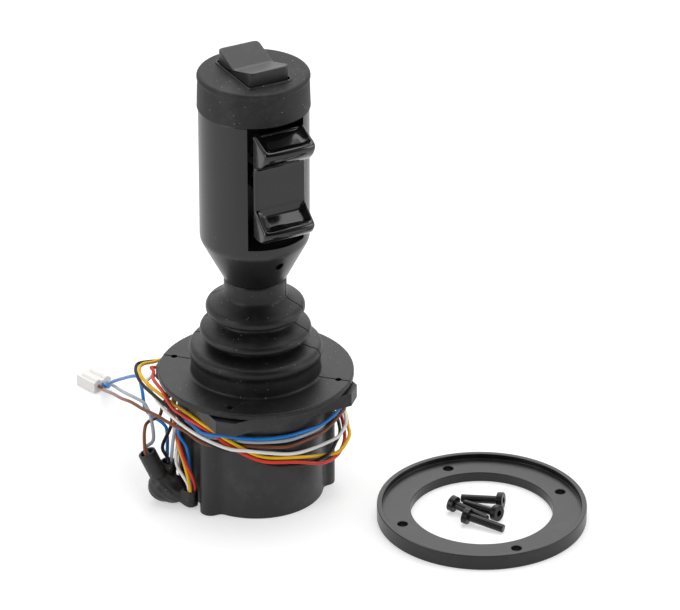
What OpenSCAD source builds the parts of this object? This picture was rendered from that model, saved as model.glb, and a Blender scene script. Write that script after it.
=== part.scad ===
// Two-axis industrial hand-grip joystick. A round housing with a square mounting plate holds a
// sprung gimbal; a rubber boot covers it. The grip has a rocker on top and a finger paddle in
// front. The harness lies round the housing, and the panel ring with its screws lies beside it.
// Origin: centre of the housing's flat bottom. -Y is the paddle side, +Z is up. Millimetres.

/* [Housing] */
// Outer diameter of the round housing
can_d = 57.3; // [55:0.1:60]
// Height of the housing up to the mounting plate
can_h = 47.5; // [46:0.1:50]
// Wall of the housing
can_wall = 3.4; // [3:0.1:3.8]
// Radius of the four screw lobes on the housing
lobe_r = 4.6; // [4.2:0.1:5]
// Sideways distance of a lobe's centre inside the housing's outer face
lobe_inset = 1.45; // [0.8:0.05:2]
// Fore-and-aft place of a lobe's centre
lobe_y = 10; // [9:0.1:12]
// Radius of the hollow that blends a lobe into the housing
lobe_blend = 3.5; // [2:0.1:4]
// Thickness of the bottom cover
cover_t = 2.4; // [2:0.1:3]
// Height of the circuit board's underside above the floor
board_z = 19; // [17:0.1:20]
// Thickness of the circuit board
board_t = 1.6; // [1.2:0.1:2]

/* [Mounting plate] */
// Width of the square mounting plate across its flats
plate_w = 67; // [66:0.1:69]
// Distance between opposite cut corners of the plate
plate_corner = 86.6; // [84:0.1:90]
// Thickness of the mounting plate
plate_t = 6; // [5:0.1:7]
// Height of the round land that the boot sits on
land_h = 1; // [0.6:0.1:1.4]
// Clearance between the bearing posts and the housing's bore
post_gap = 1.85; // [1.7:0.05:2]
// Clearance between the bearing posts and the plate's opening
plate_bore_gap = 0.9; // [0.8:0.05:1.1]
// Diameter of the circle of the four panel screws
pcd = 72.6; // [72:0.1:73]
// Diameter of the plate's threaded holes for the panel screws
plate_hole_d = 3; // [2.8:0.1:3.2]
// Length of the screws that hold the plate to the housing
plate_screw_len = 16; // [12:0.5:20]
// Shank diameter of the screws that hold the plate
plate_screw_d = 2.9; // [2.5:0.1:3.2]

/* [Gimbal] */
// Depth of the tilt centre below the top of the housing
pivot_drop = 1.5; // [1:0.1:2]
// Outer diameter of the gimbal ring
gimbal_d = 33.6; // [33:0.1:34]
// Inner diameter of the gimbal ring
gimbal_bore_d = 24; // [23.4:0.1:24.6]
// Height of the gimbal ring
gimbal_h = 8; // [7:0.1:8.6]
// Diameter of the four gimbal pins
pin_d = 4; // [3.6:0.1:4.4]
// Radial clearance of a running pin
pin_gap = 0.05; // [0.03:0.01:0.1]
// Diameter of the pivot block on the stick
block_d = 17.6; // [17:0.1:18.2]
// Height of the pivot block
block_h = 12; // [11:0.1:12.6]
// Diameter of the stick's shaft
shaft_d = 10; // [9.6:0.1:10.4]
// Diameter of the wire passage through the shaft
shaft_bore_d = 5.6; // [5:0.1:6.2]
// Height of the bearing posts above the tilt centre
post_rise = 10.5; // [10.2:0.1:11]
// Diameter of the magnet holder under the pivot block
magnet_holder_d = 9.6; // [9:0.1:10]
// Diameter of the sensing magnet
magnet_d = 7; // [6:0.1:8]
// Height of the centering spring
spring_h = 17; // [15:0.5:19]
// Wire diameter of the centering spring
spring_wire = 1.6; // [1.4:0.1:1.8]
// Coil diameter of the spring at its seat, wire centre to wire centre
spring_d = 31; // [30:0.1:32]

/* [Boot] */
// Diameter of the boot's flange
flange_d = 82.9; // [81:0.1:85]
// Thickness of the boot's flange
flange_t = 2.5; // [2:0.1:3]
// Diameter of the holes in the boot's flange
flange_hole_d = 2.8; // [2.6:0.1:3.4]
// Wall thickness of the rubber boot
boot_wall = 1.6; // [1.3:0.1:1.8]
// Radius of the boot's lower wall
boot_wall_r = 27.4; // [27:0.1:28]
// Rim radius of the lowest convolution
rim1_r = 28.3; // [28:0.1:29]
// Rim radius of the middle convolution
rim2_r = 23.6; // [23:0.1:24.2]
// Rim radius of the top convolution
rim3_r = 21; // [20.4:0.1:21.6]
// Outer radius of the boot's collar
collar_r = 13.2; // [12.9:0.1:13.4]

/* [Grip] */
// Height of the grip's lower edge above the tilt centre
grip_rise = 55.6; // [55:0.1:57]
// Diameter of the grip's hand tube
grip_d = 46; // [45:0.1:47]
// Wall of the hand tube
grip_wall = 2.4; // [2:0.1:2.6]
// Wall of the spigot and its end disc inside the cap
spigot_wall = 2; // [1.6:0.1:2.2]
// Diameter of the grip's lower edge
grip_foot_d = 27; // [26.4:0.1:28]
// Height of the cone between the lower edge and the hand tube
cone_h = 18.6; // [17:0.1:20]
// Length of the hand tube between the cone and the cap
tube_h = 59.8; // [59:0.1:61]
// Width of the window for the paddle
window_w = 26; // [25.6:0.1:27]
// Height of the window's sill above the cone
sill_h = 3.8; // [3:0.1:4.4]
// Diameter of the neck that the boot's collar grips
neck_d = 22.4; // [22:0.1:22.8]
// Diameter of the set screw
set_screw_d = 3.4; // [3:0.1:4]
// Turn of the set screw from the front, towards the right
set_screw_turn = 4; // [0:1:20]

/* [Cap and top rocker] */
// Outer diameter of the rubber cap at its lower edge
cap_d = 47.1; // [46.6:0.1:48]
// Outer diameter of the rubber cap at its top
cap_top_d = 46; // [45.4:0.1:46.6]
// Height of the rubber cap
cap_h = 15.1; // [14.6:0.1:16]
// Side wall of the rubber cap
cap_wall = 2; // [1.6:0.1:2.3]
// Thickness of the cap's top
cap_top_t = 2; // [1.6:0.1:2.4]
// Length of the top rocker, fore and aft
rocker_l = 29; // [28:0.1:29.4]
// Width of the top rocker
rocker_w = 18.6; // [18:0.1:19]
// Height of the rocker's ends above the cap
rocker_end_h = 6.5; // [6:0.1:7.5]
// Height of the crease in the rocker's middle above the cap
rocker_mid_h = 2.6; // [2.2:0.1:3.4]
// Gap before and behind the rocker inside the switch's rim
rocker_gap = 0.7; // [0.7:0.1:0.9]
// Gap beside the rocker inside the switch's rim
rocker_side_gap = 0.3; // [0.3:0.1:0.5]
// Wall of the switch's rim
rim_wall = 0.6; // [0.5:0.1:0.8]
// Height of the switch's rim above the cap
rim_h = 0.8; // [0.5:0.1:0.9]
// Diameter of the rocker's pin
rocker_pin_d = 2.2; // [2:0.1:2.4]
// Depth of the top switch's body below the cap
switch_depth = 16; // [14:0.1:18]

/* [Paddle] */
// Width of the finger paddle
paddle_w = 23.6; // [23:0.1:24]
// Distance of the paddle's flat panel in front of the stick's axis
panel_y = 23.5; // [23:0.1:24]
// Thickness of the paddle's panel
panel_t = 3; // [2.6:0.1:3.2]
// Reach of the upper dish in front of the stick's axis
upper_reach = 33.8; // [32:0.1:35]
// Reach of the lower dish in front of the stick's axis
lower_reach = 33; // [31.5:0.1:34.5]
// Distance of the paddle's pin below the cap
paddle_pin_drop = 25; // [24.6:0.1:25.6]
// Diameter of the paddle's pin
paddle_pin_d = 3; // [2.8:0.1:3.4]
// Distance of the paddle's pin in front of the stick's axis
paddle_pin_y = 10; // [9.6:0.1:10.6]

/* [Panel ring and screws] */
// Outer diameter of the loose panel ring
ring_d = 88.7; // [86:0.1:92]
// Bore of the panel ring
ring_bore_d = 60.3; // [59:0.1:62]
// Full height of the ring's lip
ring_h = 6.7; // [6:0.1:8]
// Height of the ring's recessed face
ring_face_h = 4.4; // [4:0.1:5]
// Width of the ring's raised lip
ring_lip = 2.2; // [1.8:0.1:2.8]
// Diameter of the screw holes in the ring
ring_hole_d = 4.3; // [4:0.1:4.6]
// Head diameter of a panel screw
head_d = 6.9; // [6.4:0.1:7.4]
// Head height of a panel screw
head_h = 2.6; // [2.2:0.1:3]
// Shank diameter of a panel screw
shank_d = 3.5; // [3.2:0.1:3.8]
// Shank length of a panel screw
shank_len = 16; // [14:0.5:20]

/* [Harness] */
// Diameter of one insulated wire
wire_d = 1.5; // [1.3:0.1:1.6]
// Distance of the wire exit below the top of the housing
exit_drop = 9.5; // [8.5:0.1:10.5]
// Diameter of the grommet's flange
grommet_d = 13; // [12:0.1:14]
// Length of the plug housing
plug_l = 12; // [11:0.1:13]
// Width of the plug housing
plug_w = 10; // [9.4:0.1:11]
// Height of the plug housing with its ribs
plug_h = 6; // [5.6:0.1:6.6]
// Spacing of the plug's three ways
plug_pitch = 2.5; // [2.4:0.1:2.6]

/* [Hidden] */

$fn = 96;
e = 1;                    // overshoot of a cut
play = 0.2;               // gap round a seated piece
black = "#1c1c1e";

can_r = can_d / 2;
bore_r = can_r - can_wall;
lobe_x = can_r - lobe_inset;
exit_z = can_h - exit_drop;
frame_t = 3;                              // flange of the bearing frame
frame_r = can_r - 2.1;
pivot_z = can_h - pivot_drop;
plate_z = can_h + plate_t;                // top of the mounting plate
flange_z = plate_z + land_h;              // underside of the boot's flange
cover_r = bore_r + 1;
hole_xy = pcd / 2 / sqrt(2);
board_r = bore_r - 0.4;
post_z = pivot_z + post_rise;             // top of the bearing posts
seat_t = 1.5;
seat_z = post_z + seat_t;                 // face that the spring stands on
seat_bore_r = 13;
post_in = gimbal_d / 2 + 0.8;             // inner face of a bearing post
post_out = bore_r - post_gap;              // outer face of a bearing post
plate_bore_d = 2 * (post_out + plate_bore_gap);
post_w = 9;
collar_z = seat_z + spring_h;             // underside of the spring collar
grip_z = pivot_z + grip_rise;             // lower edge of the grip
tube_z = grip_z + cone_h;                 // top of the cone
cap_z = tube_z + tube_h;                  // lower edge of the cap
cap_top_z = cap_z + cap_h;
grip_r = grip_d / 2;
spigot_r = cap_d / 2 - cap_wall;          // the tube inside the cap
sill_z = tube_z + sill_h;
pin_z = cap_z - paddle_pin_drop;
neck_drop = 8.6;                          // neck below the grip's edge, inside the collar
pad_t = 1.35;                             // pad on the housing behind the grommet's flange
grommet_t = 1.5;                          // flange of the grommet
rocker_pin_z = cap_top_z - rocker_pin_d / 2 - 0.2;
switch_x = rocker_w + 2 * (rocker_side_gap + rim_wall);
switch_y = rocker_l + 2 * (rocker_gap + rim_wall);
arm_x = 8;                                // centre of a paddle arm
arm_w = 2.2;
cheek_x = arm_x + arm_w / 2 + 0.4;        // inner face of a chassis cheek
cheek_w = 2.2;

// A straight tube
module tube(h, d, bore) {
    difference() {
        cylinder(d = d, h = h);
        translate([0, 0, -e]) cylinder(d = bore, h = h + 2 * e);
    }
}

// Copies at the four mirrored places of one corner
module four(x, y) {
    for (sx = [-1, 1], sy = [-1, 1]) translate([sx * x, sy * y, 0]) children();
}

// A cylinder along X, centred
module rod_x(d, l) {
    rotate([0, 90, 0]) cylinder(d = d, h = l, center = true);
}

// A cylinder along Y, centred
module rod_y(d, l) {
    rotate([90, 0, 0]) cylinder(d = d, h = l, center = true);
}

// A pan-head screw with its head's underside at z = 0 and its shank down -Z
module screw(d, l, head, head_t, socket) {
    difference() {
        union() {
            translate([0, 0, -l]) cylinder(d = d, h = l);
            cylinder(d = head, h = head_t);
        }
        translate([0, 0, head_t * 0.4]) cylinder(d = socket, h = head_t);
    }
}

// ---- Housing, cover and board ----

// Centre of the circle that blends a lobe at [x, y] into the housing, on the side given by s
function blend_centre(x, y, s) =
    let (d = norm([x, y]), r1 = can_r + lobe_blend, r2 = lobe_r + lobe_blend,
         a = (d * d + r1 * r1 - r2 * r2) / (2 * d), h = s * sqrt(r1 * r1 - a * a))
    [(x * a - y * h) / d, (y * a + x * h) / d];

// One lobe's outline with its two hollow blends
module lobe_outline(x, y) {
    translate([x, y]) circle(r = lobe_r);
    for (s = [-1, 1]) {
        c = blend_centre(x, y, s);
        difference() {
            polygon([[0, 0], [x, y], c]);
            translate(c) circle(r = lobe_blend);
        }
    }
}

module base_housing() color(black) difference() {
    union() {
        cylinder(d = can_d, h = can_h);
        linear_extrude(can_h) for (sx = [-1, 1], sy = [-1, 1]) lobe_outline(sx * lobe_x, sy * lobe_y);
        translate([-grommet_d / 2 - 1, 0, exit_z - grommet_d / 2 - 0.8])
            cube([grommet_d + 2, can_r + pad_t, grommet_d + 1.6]);
    }
    translate([0, 0, cover_t]) cylinder(r = bore_r, h = can_h);
    translate([0, 0, -e]) cylinder(r = cover_r + play / 2, h = cover_t + e);
    translate([0, 0, can_h - frame_t]) cylinder(r = frame_r + play, h = frame_t + e);
    four(lobe_x, lobe_y) translate([0, 0, plate_z - plate_screw_len - e])
        cylinder(d = plate_screw_d + 2 * pin_gap, h = plate_screw_len + e);
    translate([0, can_r, exit_z]) rod_y(grommet_d - 3 + 2 * pin_gap, can_d / 2);
}

module mounting_plate() color(black) difference() {
    union() {
        translate([0, 0, can_h]) linear_extrude(plate_t) intersection() {
            square(plate_w, center = true);
            rotate(45) square(plate_corner, center = true);
        }
        translate([0, 0, plate_z]) cylinder(d = plate_w - 1, h = land_h);
    }
    translate([0, 0, can_h - e]) cylinder(d = plate_bore_d, h = plate_t + land_h + 2 * e);
    four(hole_xy, hole_xy) translate([0, 0, can_h - e]) cylinder(d = plate_hole_d, h = plate_t + 2 * e);
    four(lobe_x, lobe_y) translate([0, 0, can_h - e]) {
        cylinder(d = plate_screw_d + 2 * pin_gap, h = plate_t + land_h + 2 * e);
        translate([0, 0, e + plate_t - 2]) cylinder(d = plate_screw_d * 2 + play, h = plate_t);
    }
}

module plate_screws() color("#3a3a3e") four(lobe_x, lobe_y)
    translate([0, 0, plate_z - 2])
        screw(plate_screw_d, plate_screw_len - 2.2, plate_screw_d * 2, 2, plate_screw_d * 0.8);

// The cover closes the housing and carries three standoffs for the board
module bottom_cover() color(black) {
    difference() {
        union() {
            cylinder(r = cover_r, h = cover_t);
            for (a = [30, 150, 270]) rotate(a) translate([board_r - 5, 0, cover_t - e])
                cylinder(d = 6, h = board_z - cover_t + e);
        }
        for (a = [30, 150, 270]) rotate(a) translate([board_r - 5, 0, board_z - 7])
            cylinder(d = 2.2 + 2 * pin_gap, h = 8);
    }
}

module circuit_board() color("#1d5a35") difference() {
    translate([0, 0, board_z]) cylinder(r = board_r, h = board_t);
    for (a = [30, 150, 270]) rotate(a) translate([board_r - 5, 0, board_z - e])
        cylinder(d = 2.8, h = board_t + 2 * e);
    translate([0, board_r, board_z]) cube([12, 8, 3 * board_t], center = true);
}

module board_screws() color("#b8b8bc") for (a = [30, 150, 270])
    rotate(a) translate([board_r - 5, 0, board_z + board_t]) screw(2.2, 7, 4.4, 1.6, 1.6);

// Two sensor chips under the magnet, and the small parts and the wire header beside them
module hall_sensor() color("#26262a") translate([0, 0, board_z + board_t]) {
    translate([-2.5, -3, 0]) cube([5, 6, 1.5]);
    for (x = [-11, 9]) translate([x, -4, 0]) cube([2.4, 5, 1.2]);
    translate([-9, 10, 0]) cube([18, 4.4, 4]);
}

// ---- Bearing frame, spring and gimbal ----

// The frame's flange is clamped by the plate; its two posts carry the gimbal pins
module bearing_frame() color("#9a9ca0") difference() {
    union() {
        translate([0, 0, can_h - frame_t]) tube(frame_t, frame_r * 2, post_in + post_out + 0.6);
        for (s = [-1, 1]) translate([s * (post_in + post_out) / 2, 0, (pivot_z - 5.5 + post_z) / 2])
            cube([post_out - post_in, post_w, post_z - pivot_z + 5.5], center = true);
    }
    translate([0, 0, pivot_z]) rod_x(pin_d + 2 * pin_gap, frame_r * 2 - 6);
    for (s = [-1, 1]) translate([s * (post_in + post_out) / 2, 0, post_z - 4.5])
        cylinder(d = 2 + 2 * pin_gap, h = 5);
}

module spring_seat() color("#9a9ca0") difference() {
    translate([0, 0, post_z]) tube(seat_t, post_out * 2 - 0.6, seat_bore_r * 2);
    for (s = [-1, 1]) translate([s * (post_in + post_out) / 2, 0, post_z - e])
        cylinder(d = 2.4, h = seat_t + 2 * e);
}

module seat_screws() color("#b8b8bc") for (s = [-1, 1])
    translate([s * (post_in + post_out) / 2, 0, seat_z]) screw(2, 5, 3.8, 1.4, 1.4);

module wire_grommet() color("#232326") translate([0, can_r + pad_t, exit_z]) {
    translate([0, grommet_t / 2, 0]) rod_y(grommet_d, grommet_t);
    translate([0, -(can_wall + 1) / 2, 0]) rod_y(grommet_d - 3, can_wall + 1);
}

module gimbal_ring() color("#b9bbc0") difference() {
    translate([0, 0, pivot_z - gimbal_h / 2]) tube(gimbal_h, gimbal_d, gimbal_bore_d);
    translate([0, 0, pivot_z]) rod_x(pin_d, gimbal_d + e);
    translate([0, 0, pivot_z]) rod_y(pin_d + 2 * pin_gap, gimbal_d + e);
}

// Two pins fixed in the ring, which turn in the frame's posts
module gimbal_pins() color("#d8d8dc") for (s = [-1, 1])
    translate([s * (gimbal_bore_d / 2 + 0.6 + post_out - 1) / 2, 0, pivot_z])
        rod_x(pin_d, post_out - 1 - gimbal_bore_d / 2 - 0.6);

// Two pins fixed in the pivot block, which turn in the gimbal ring
module stick_pins() color("#d8d8dc") for (s = [-1, 1])
    translate([0, s * (shaft_d / 2 + 0.4 + gimbal_d / 2 - 0.4) / 2, pivot_z])
        rod_y(pin_d, gimbal_d / 2 - 0.4 - shaft_d / 2 - 0.4);

module pivot_block() color("#8e9095") difference() {
    translate([0, 0, pivot_z - block_h / 2]) cylinder(d = block_d, h = block_h);
    translate([0, 0, pivot_z - block_h / 2 + 1.5]) cylinder(d = shaft_d, h = block_h);
    translate([0, 0, pivot_z]) rod_y(pin_d, block_d + e);
}

module stick_shaft() color("#c4c6ca") translate([0, 0, pivot_z - block_h / 2 + 1.5])
    tube(tube_z - 4 - (pivot_z - block_h / 2 + 1.5), shaft_d, shaft_bore_d);

module magnet_holder() color("#2b2b2f") difference() {
    translate([0, 0, pivot_z - block_h / 2 - 11]) cylinder(d = magnet_holder_d, h = 11);
    translate([0, 0, pivot_z - block_h / 2 - 12]) cylinder(d = magnet_d, h = 4);
}

module sensing_magnet() color("#c9c9cf")
    translate([0, 0, pivot_z - block_h / 2 - 11]) cylinder(d = magnet_d, h = 3);

// ---- Swept tubes ----

// A point on the smooth curve through the points p, at span i and share t of that span
function spline(p, i, t) =
    let (n = len(p) - 1, a = p[max(i - 1, 0)], b = p[i], c = p[i + 1], d = p[min(i + 2, n)])
    0.5 * (2 * b + (c - a) * t + (2 * a - 5 * b + 4 * c - d) * t * t
        + (3 * b - a - 3 * c + d) * t * t * t);

// All ring centres: so many per span, and the last point
function centres(p, per_span) =
    [for (i = [0 : len(p) - 2], k = [0 : per_span - 1]) spline(p, i, k / per_span), p[len(p) - 1]];

function unit(v) = v / norm(v);

function direction(c, i) =
    let (n = len(c) - 1) unit(c[min(i + 1, n)] - c[max(i - 1, 0)]);

// Side vectors carried along the curve without twist
function sides(c, i, last) =
    let (t = direction(c, i), s = unit(last - (last * t) * t))
    i == len(c) - 1 ? [s] : concat([s], sides(c, i + 1, s));

// First side vector, square to the direction t
function first_side(t) = unit(cross(t, abs(t[2]) < 0.8 ? [0, 0, 1] : [1, 0, 0]));

// A closed tube of the given number of sides along the ring centres c
module sweep(c, r, n) {
    s = sides(c, 0, first_side(direction(c, 0)));
    rings = [for (i = [0 : len(c) - 1], k = [0 : n - 1])
        let (t = direction(c, i), u = s[i], v = cross(t, u), a = 360 * k / n)
        c[i] + r * cos(a) * u + r * sin(a) * v];
    m = len(c);
    walls = [for (i = [0 : m - 2], k = [0 : n - 1])
        let (a = i * n + k, b = i * n + (k + 1) % n) each [[a, a + n, b], [b, a + n, b + n]]];
    ends = [[for (k = [0 : n - 1]) k], [for (k = [n - 1 : -1 : 0]) (m - 1) * n + k]];
    polyhedron(rings, concat(walls, ends));
}

// A wire through its route's points
module wire(p, per_span) {
    sweep(centres(p, per_span), wire_d / 2, 8);
}

// The coil narrows upwards, and its first and last turns lie flat on the seat and the collar
module centering_spring() color("#d0d2d6") {
    turns = 5.5;
    r0 = spring_d / 2;
    r1 = r0 - 4.5;
    low = seat_z + spring_wire / 2 + 0.1;
    rise = spring_h - spring_wire - 0.4;
    c = [for (k = [0 : turns * 18])
        let (t = k / (turns * 18), s = max(0, min(1, (t * turns - 0.8) / (turns - 1.6))))
        [(r0 + (r1 - r0) * t) * cos(360 * turns * t), (r0 + (r1 - r0) * t) * sin(360 * turns * t),
         low + rise * s + 0.15 * t]];
    sweep(c, spring_wire / 2, 8);
}

// A collar held on the shaft, which the spring presses up against
module spring_collar() color("#9a9ca0") translate([0, 0, collar_z])
    tube(2, spring_d - 5.5, shaft_d);

// ---- Boot ----

// Outline of the boot's half section, drawn in by w on the inner side
function boot_outer() = [
    [boot_wall_r, flange_z + flange_t], [boot_wall_r, flange_z + 10.2],
    [rim1_r - 0.3, flange_z + 11.2], [rim1_r, flange_z + 13], [rim1_r - 0.4, flange_z + 14.6],
    [rim1_r - 1.8, flange_z + 15.7], [20.5, flange_z + 16.9], [18.6, flange_z + 17.7],
    [18.6, flange_z + 18.8], [rim2_r - 2, flange_z + 19.6], [rim2_r - 0.3, flange_z + 20.4],
    [rim2_r, flange_z + 21.6], [rim2_r - 0.5, flange_z + 23.2], [rim2_r - 1.9, flange_z + 24.3],
    [17.8, flange_z + 26.3], [16, flange_z + 27.3], [16, flange_z + 28.5],
    [rim3_r - 2, flange_z + 30], [rim3_r - 0.3, flange_z + 31], [rim3_r, flange_z + 32.6],
    [rim3_r - 0.5, flange_z + 34.2], [rim3_r - 1.8, flange_z + 35.3],
    [collar_r + 1, flange_z + 38], [collar_r, flange_z + 38.8], [collar_r, grip_z - 0.9],
    [collar_r - 0.6, grip_z - 0.3]];

function boot_inner(w) = [
    [neck_d / 2 + 0.3, grip_z - 0.3], [neck_d / 2 + 0.3, flange_z + 37.6],
    [rim3_r - 2 - w, flange_z + 33.6], [rim3_r - w, flange_z + 32.6],
    [rim3_r - 1 - w, flange_z + 31.4], [16 - w, flange_z + 29.6], [16 - w, flange_z + 26.5],
    [rim2_r - 2 - w, flange_z + 22.7], [rim2_r - w, flange_z + 21.6],
    [rim2_r - 1 - w, flange_z + 20.8], [18.6 - w, flange_z + 20], [18.6 - w, flange_z + 16.6],
    [rim1_r - 2 - w, flange_z + 14.2], [rim1_r - w, flange_z + 13],
    [boot_wall_r - w, flange_z + 10.8], [boot_wall_r - w, flange_z]];

module boot() color("#232325") difference() {
    rotate_extrude() polygon(concat(
        [[flange_d / 2 - 0.4, flange_z], [flange_d / 2, flange_z + 0.6],
         [flange_d / 2, flange_z + flange_t - 0.8], [flange_d / 2 - 0.8, flange_z + flange_t]],
        boot_outer(), boot_inner(boot_wall)));
    four(hole_xy, hole_xy) translate([0, 0, flange_z - e])
        cylinder(d = flange_hole_d, h = flange_t + 2 * e);
}

// ---- Grip ----

module grip_shell() color("#1e1e20") difference() {
    rotate_extrude() polygon([
        [neck_d / 2, grip_z - neck_drop], [neck_d / 2, grip_z], [grip_foot_d / 2, grip_z],
        [grip_r, tube_z], [grip_r, cap_z], [spigot_r, cap_z], [spigot_r, cap_top_z - cap_top_t],
        [0, cap_top_z - cap_top_t], [0, cap_top_z - cap_top_t - spigot_wall],
        [spigot_r - spigot_wall, cap_top_z - cap_top_t - spigot_wall],
        [spigot_r - spigot_wall, cap_z + 1], [grip_r - grip_wall, cap_z],
        [grip_r - grip_wall, tube_z + 1], [9, tube_z - 3], [shaft_d / 2, tube_z - 3],
        [shaft_d / 2, grip_z - neck_drop]]);
    translate([-window_w / 2, -grip_r - e, sill_z]) cube([window_w, grip_r - 8, cap_z - sill_z]);
    set_screw_place(-grip_r) rod_y(set_screw_d, grip_r * 2 - shaft_d);
    switch_hole();
}

// The rectangular way for the top switch through the cap and the disc under it
module switch_hole() {
    translate([0, 0, cap_top_z]) cube([switch_x + play, switch_y + play, cap_h], center = true);
}

// Carries its children to the set screw's line, at y in front of the axis
module set_screw_place(y) {
    rotate(set_screw_turn) translate([0, y, tube_z - 6.6]) children();
}

module set_screw() color("#55565a") difference() {
    set_screw_place(-shaft_d / 2 - 3.5) rod_y(set_screw_d, 7);
    set_screw_place(-shaft_d / 2 - 7) rod_y(1.6, 3);
}

// Moulded carrier inside the grip: a foot, a web, two cheeks for the paddle pin and a top ring
module grip_chassis() color("#2a2a2d") difference() {
    union() {
        translate([0, 0, tube_z + 1]) tube(2.5, (grip_r - grip_wall - play) * 2, shaft_d + 6);
        translate([-16, 3, tube_z + 1]) cube([32, 2.4, cap_z - tube_z - 3]);
        for (s = [-1, 1]) translate([s * (cheek_x + cheek_w / 2) - cheek_w / 2, -12.6, pin_z - 9])
            cube([cheek_w, 17, 18]);
        translate([0, 0, cap_z - 5]) tube(3, (grip_r - grip_wall - play) * 2, 31);
    }
    translate([0, -paddle_pin_y, pin_z]) rod_x(paddle_pin_d + 2 * pin_gap, grip_d);
    translate([-window_w / 2, -grip_r - e, cap_z - 8]) cube([window_w, 12, 10]);
}

// Sensor card held off the left cheek, facing the magnet on the paddle's pin
module paddle_sensor() color("#1d5a35")
    translate([-cheek_x - cheek_w - 3.2, -paddle_pin_y - 3, pin_z - 6]) {
        cube([1, 8, 12]);
        translate([0, 6.5, 3]) cube([3.2, 1.5, 6]);
    }

// Torsion spring round the pin, with one leg on the web and one behind the panel
module paddle_spring() color("#d0d2d6") {
    r = paddle_pin_d / 2 + 0.9;
    turns = 4;
    c = concat([[-3, 2.4, pin_z + 6]], [for (k = [0 : turns * 16])
        let (a = 90 + 360 * k / 16)
        [-3 + 6 * k / (turns * 16), -paddle_pin_y + r * cos(a), pin_z + r * sin(a)]],
        [[3, -panel_y + panel_t + 0.7, pin_z + 6]]);
    sweep(c, 0.35, 8);
}

module rubber_cap() color("#252527") difference() {
    rotate_extrude() polygon([
        [cap_d / 2, cap_z], [cap_top_d / 2 + 0.15, cap_top_z - 1.2], [cap_top_d / 2 - 0.6, cap_top_z - 0.2],
        [cap_top_d / 2 - 1.4, cap_top_z], [0, cap_top_z], [0, cap_top_z - cap_top_t],
        [spigot_r + 0.02, cap_top_z - cap_top_t], [spigot_r + 0.02, cap_z]]);
    switch_hole();
}

// ---- Top switch ----

// The switch's body hangs through the cap; its rim is the low plinth round the rocker
module top_switch_body() color("#19191b") difference() {
    translate([0, 0, cap_top_z + rim_h - (switch_depth + rim_h) / 2])
        cube([switch_x, switch_y, switch_depth + rim_h], center = true);
    translate([0, 0, cap_top_z])
        cube([rocker_w + 2 * rocker_side_gap, rocker_l + 2 * rocker_gap, 10.8], center = true);
    translate([0, 0, rocker_pin_z]) rod_x(rocker_pin_d + 2 * pin_gap, switch_x + e);
}

module switch_terminals() color("#c9b27a") for (y = [-8, 0, 8])
    translate([-2, y - 0.4, cap_top_z - switch_depth - 6]) cube([4, 0.8, 6]);

// Side outline of the rocker, extruded across the width
module top_rocker() color("#1f1f21") difference() {
    translate([-rocker_w / 2, 0, cap_top_z]) rotate([90, 0, 90]) linear_extrude(rocker_w) polygon([
        [-rocker_l / 2, -1.6], [-rocker_l / 2, rocker_end_h], [0, rocker_mid_h],
        [rocker_l / 2, rocker_end_h], [rocker_l / 2, -1.6], [2.5, -3.6], [-2.5, -3.6]]);
    translate([0, 0, rocker_pin_z]) rod_x(rocker_pin_d, rocker_w + e);
}

module rocker_pin() color("#d8d8dc") translate([0, 0, rocker_pin_z])
    rod_x(rocker_pin_d, switch_x - 0.2);

// ---- Paddle ----

// Side outline of the paddle, forward distance against height over its pin
paddle_outline = [
    [panel_y - panel_t, -24], [panel_y + 0.5, -24.8], [lower_reach - 1.4, -21.2],
    [lower_reach, -19.6], [lower_reach - 0.4, -18.2], [panel_y + 1, -12.4], [panel_y, -11.6],
    [panel_y, 8], [panel_y + 1, 9], [upper_reach - 0.8, 15.6], [upper_reach, 17.4],
    [upper_reach - 1.6, 18.8], [panel_y - panel_t + 1, 22.8], [panel_y - panel_t, 22.4]];

module paddle_rocker() color("#141416") difference() {
    union() {
        translate([paddle_w / 2, 0, pin_z]) rotate([90, 0, -90]) linear_extrude(paddle_w)
            polygon(paddle_outline);
        for (s = [-1, 1]) translate([s * arm_x - arm_w / 2, -panel_y + panel_t - e, pin_z - 4])
            cube([arm_w, panel_y - panel_t + e - paddle_pin_y, 8]);
        for (s = [-1, 1]) translate([s * arm_x, -paddle_pin_y, pin_z]) rod_x(8, arm_w);
    }
    translate([0, -paddle_pin_y, pin_z]) rod_x(paddle_pin_d, paddle_w + e);
}

module paddle_pin() color("#d8d8dc") translate([0, -paddle_pin_y, pin_z])
    rod_x(paddle_pin_d, 2 * (cheek_x + cheek_w) + 1);

module paddle_magnet() color("#9fa0a6")
    translate([-cheek_x - cheek_w - 1, -paddle_pin_y, pin_z]) rod_x(5, 1);

// ---- Panel ring and its screws ----

ring_at = [71, -69.2, 0];

module panel_ring() color("#1b1b1d") translate(ring_at) rotate(-6.5) difference() {
    cylinder(d = ring_d, h = ring_h);
    translate([0, 0, -e]) cylinder(d = ring_bore_d, h = ring_h + 2 * e);
    translate([0, 0, ring_face_h]) cylinder(d = ring_d - 2 * ring_lip, h = ring_h);
    for (a = [0, 90, 180, 270]) rotate(a) translate([pcd / 2, 0, -e])
        cylinder(d = ring_hole_d, h = ring_face_h + 2 * e);
}

// Each loose screw lies on its head's rim and its tip: place of the head's underside, and heading
loose_screws = [[[81, -65.4], 135], [[74.6, -73.6], 112], [[63.4, -60.4], -64], [[63.4, -72], -55]];
screw_dip = atan((head_d - shank_d) / 2 / shank_len);

module panel_screws() color("#202024") for (s = loose_screws)
    translate([s[0][0], s[0][1], head_d / 2 * cos(screw_dip)]) rotate([0, 0, s[1]])
        rotate([0, screw_dip - 90, 0]) screw(shank_d, shank_len, head_d, head_h, 2.6);

// ---- Harness ----

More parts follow.
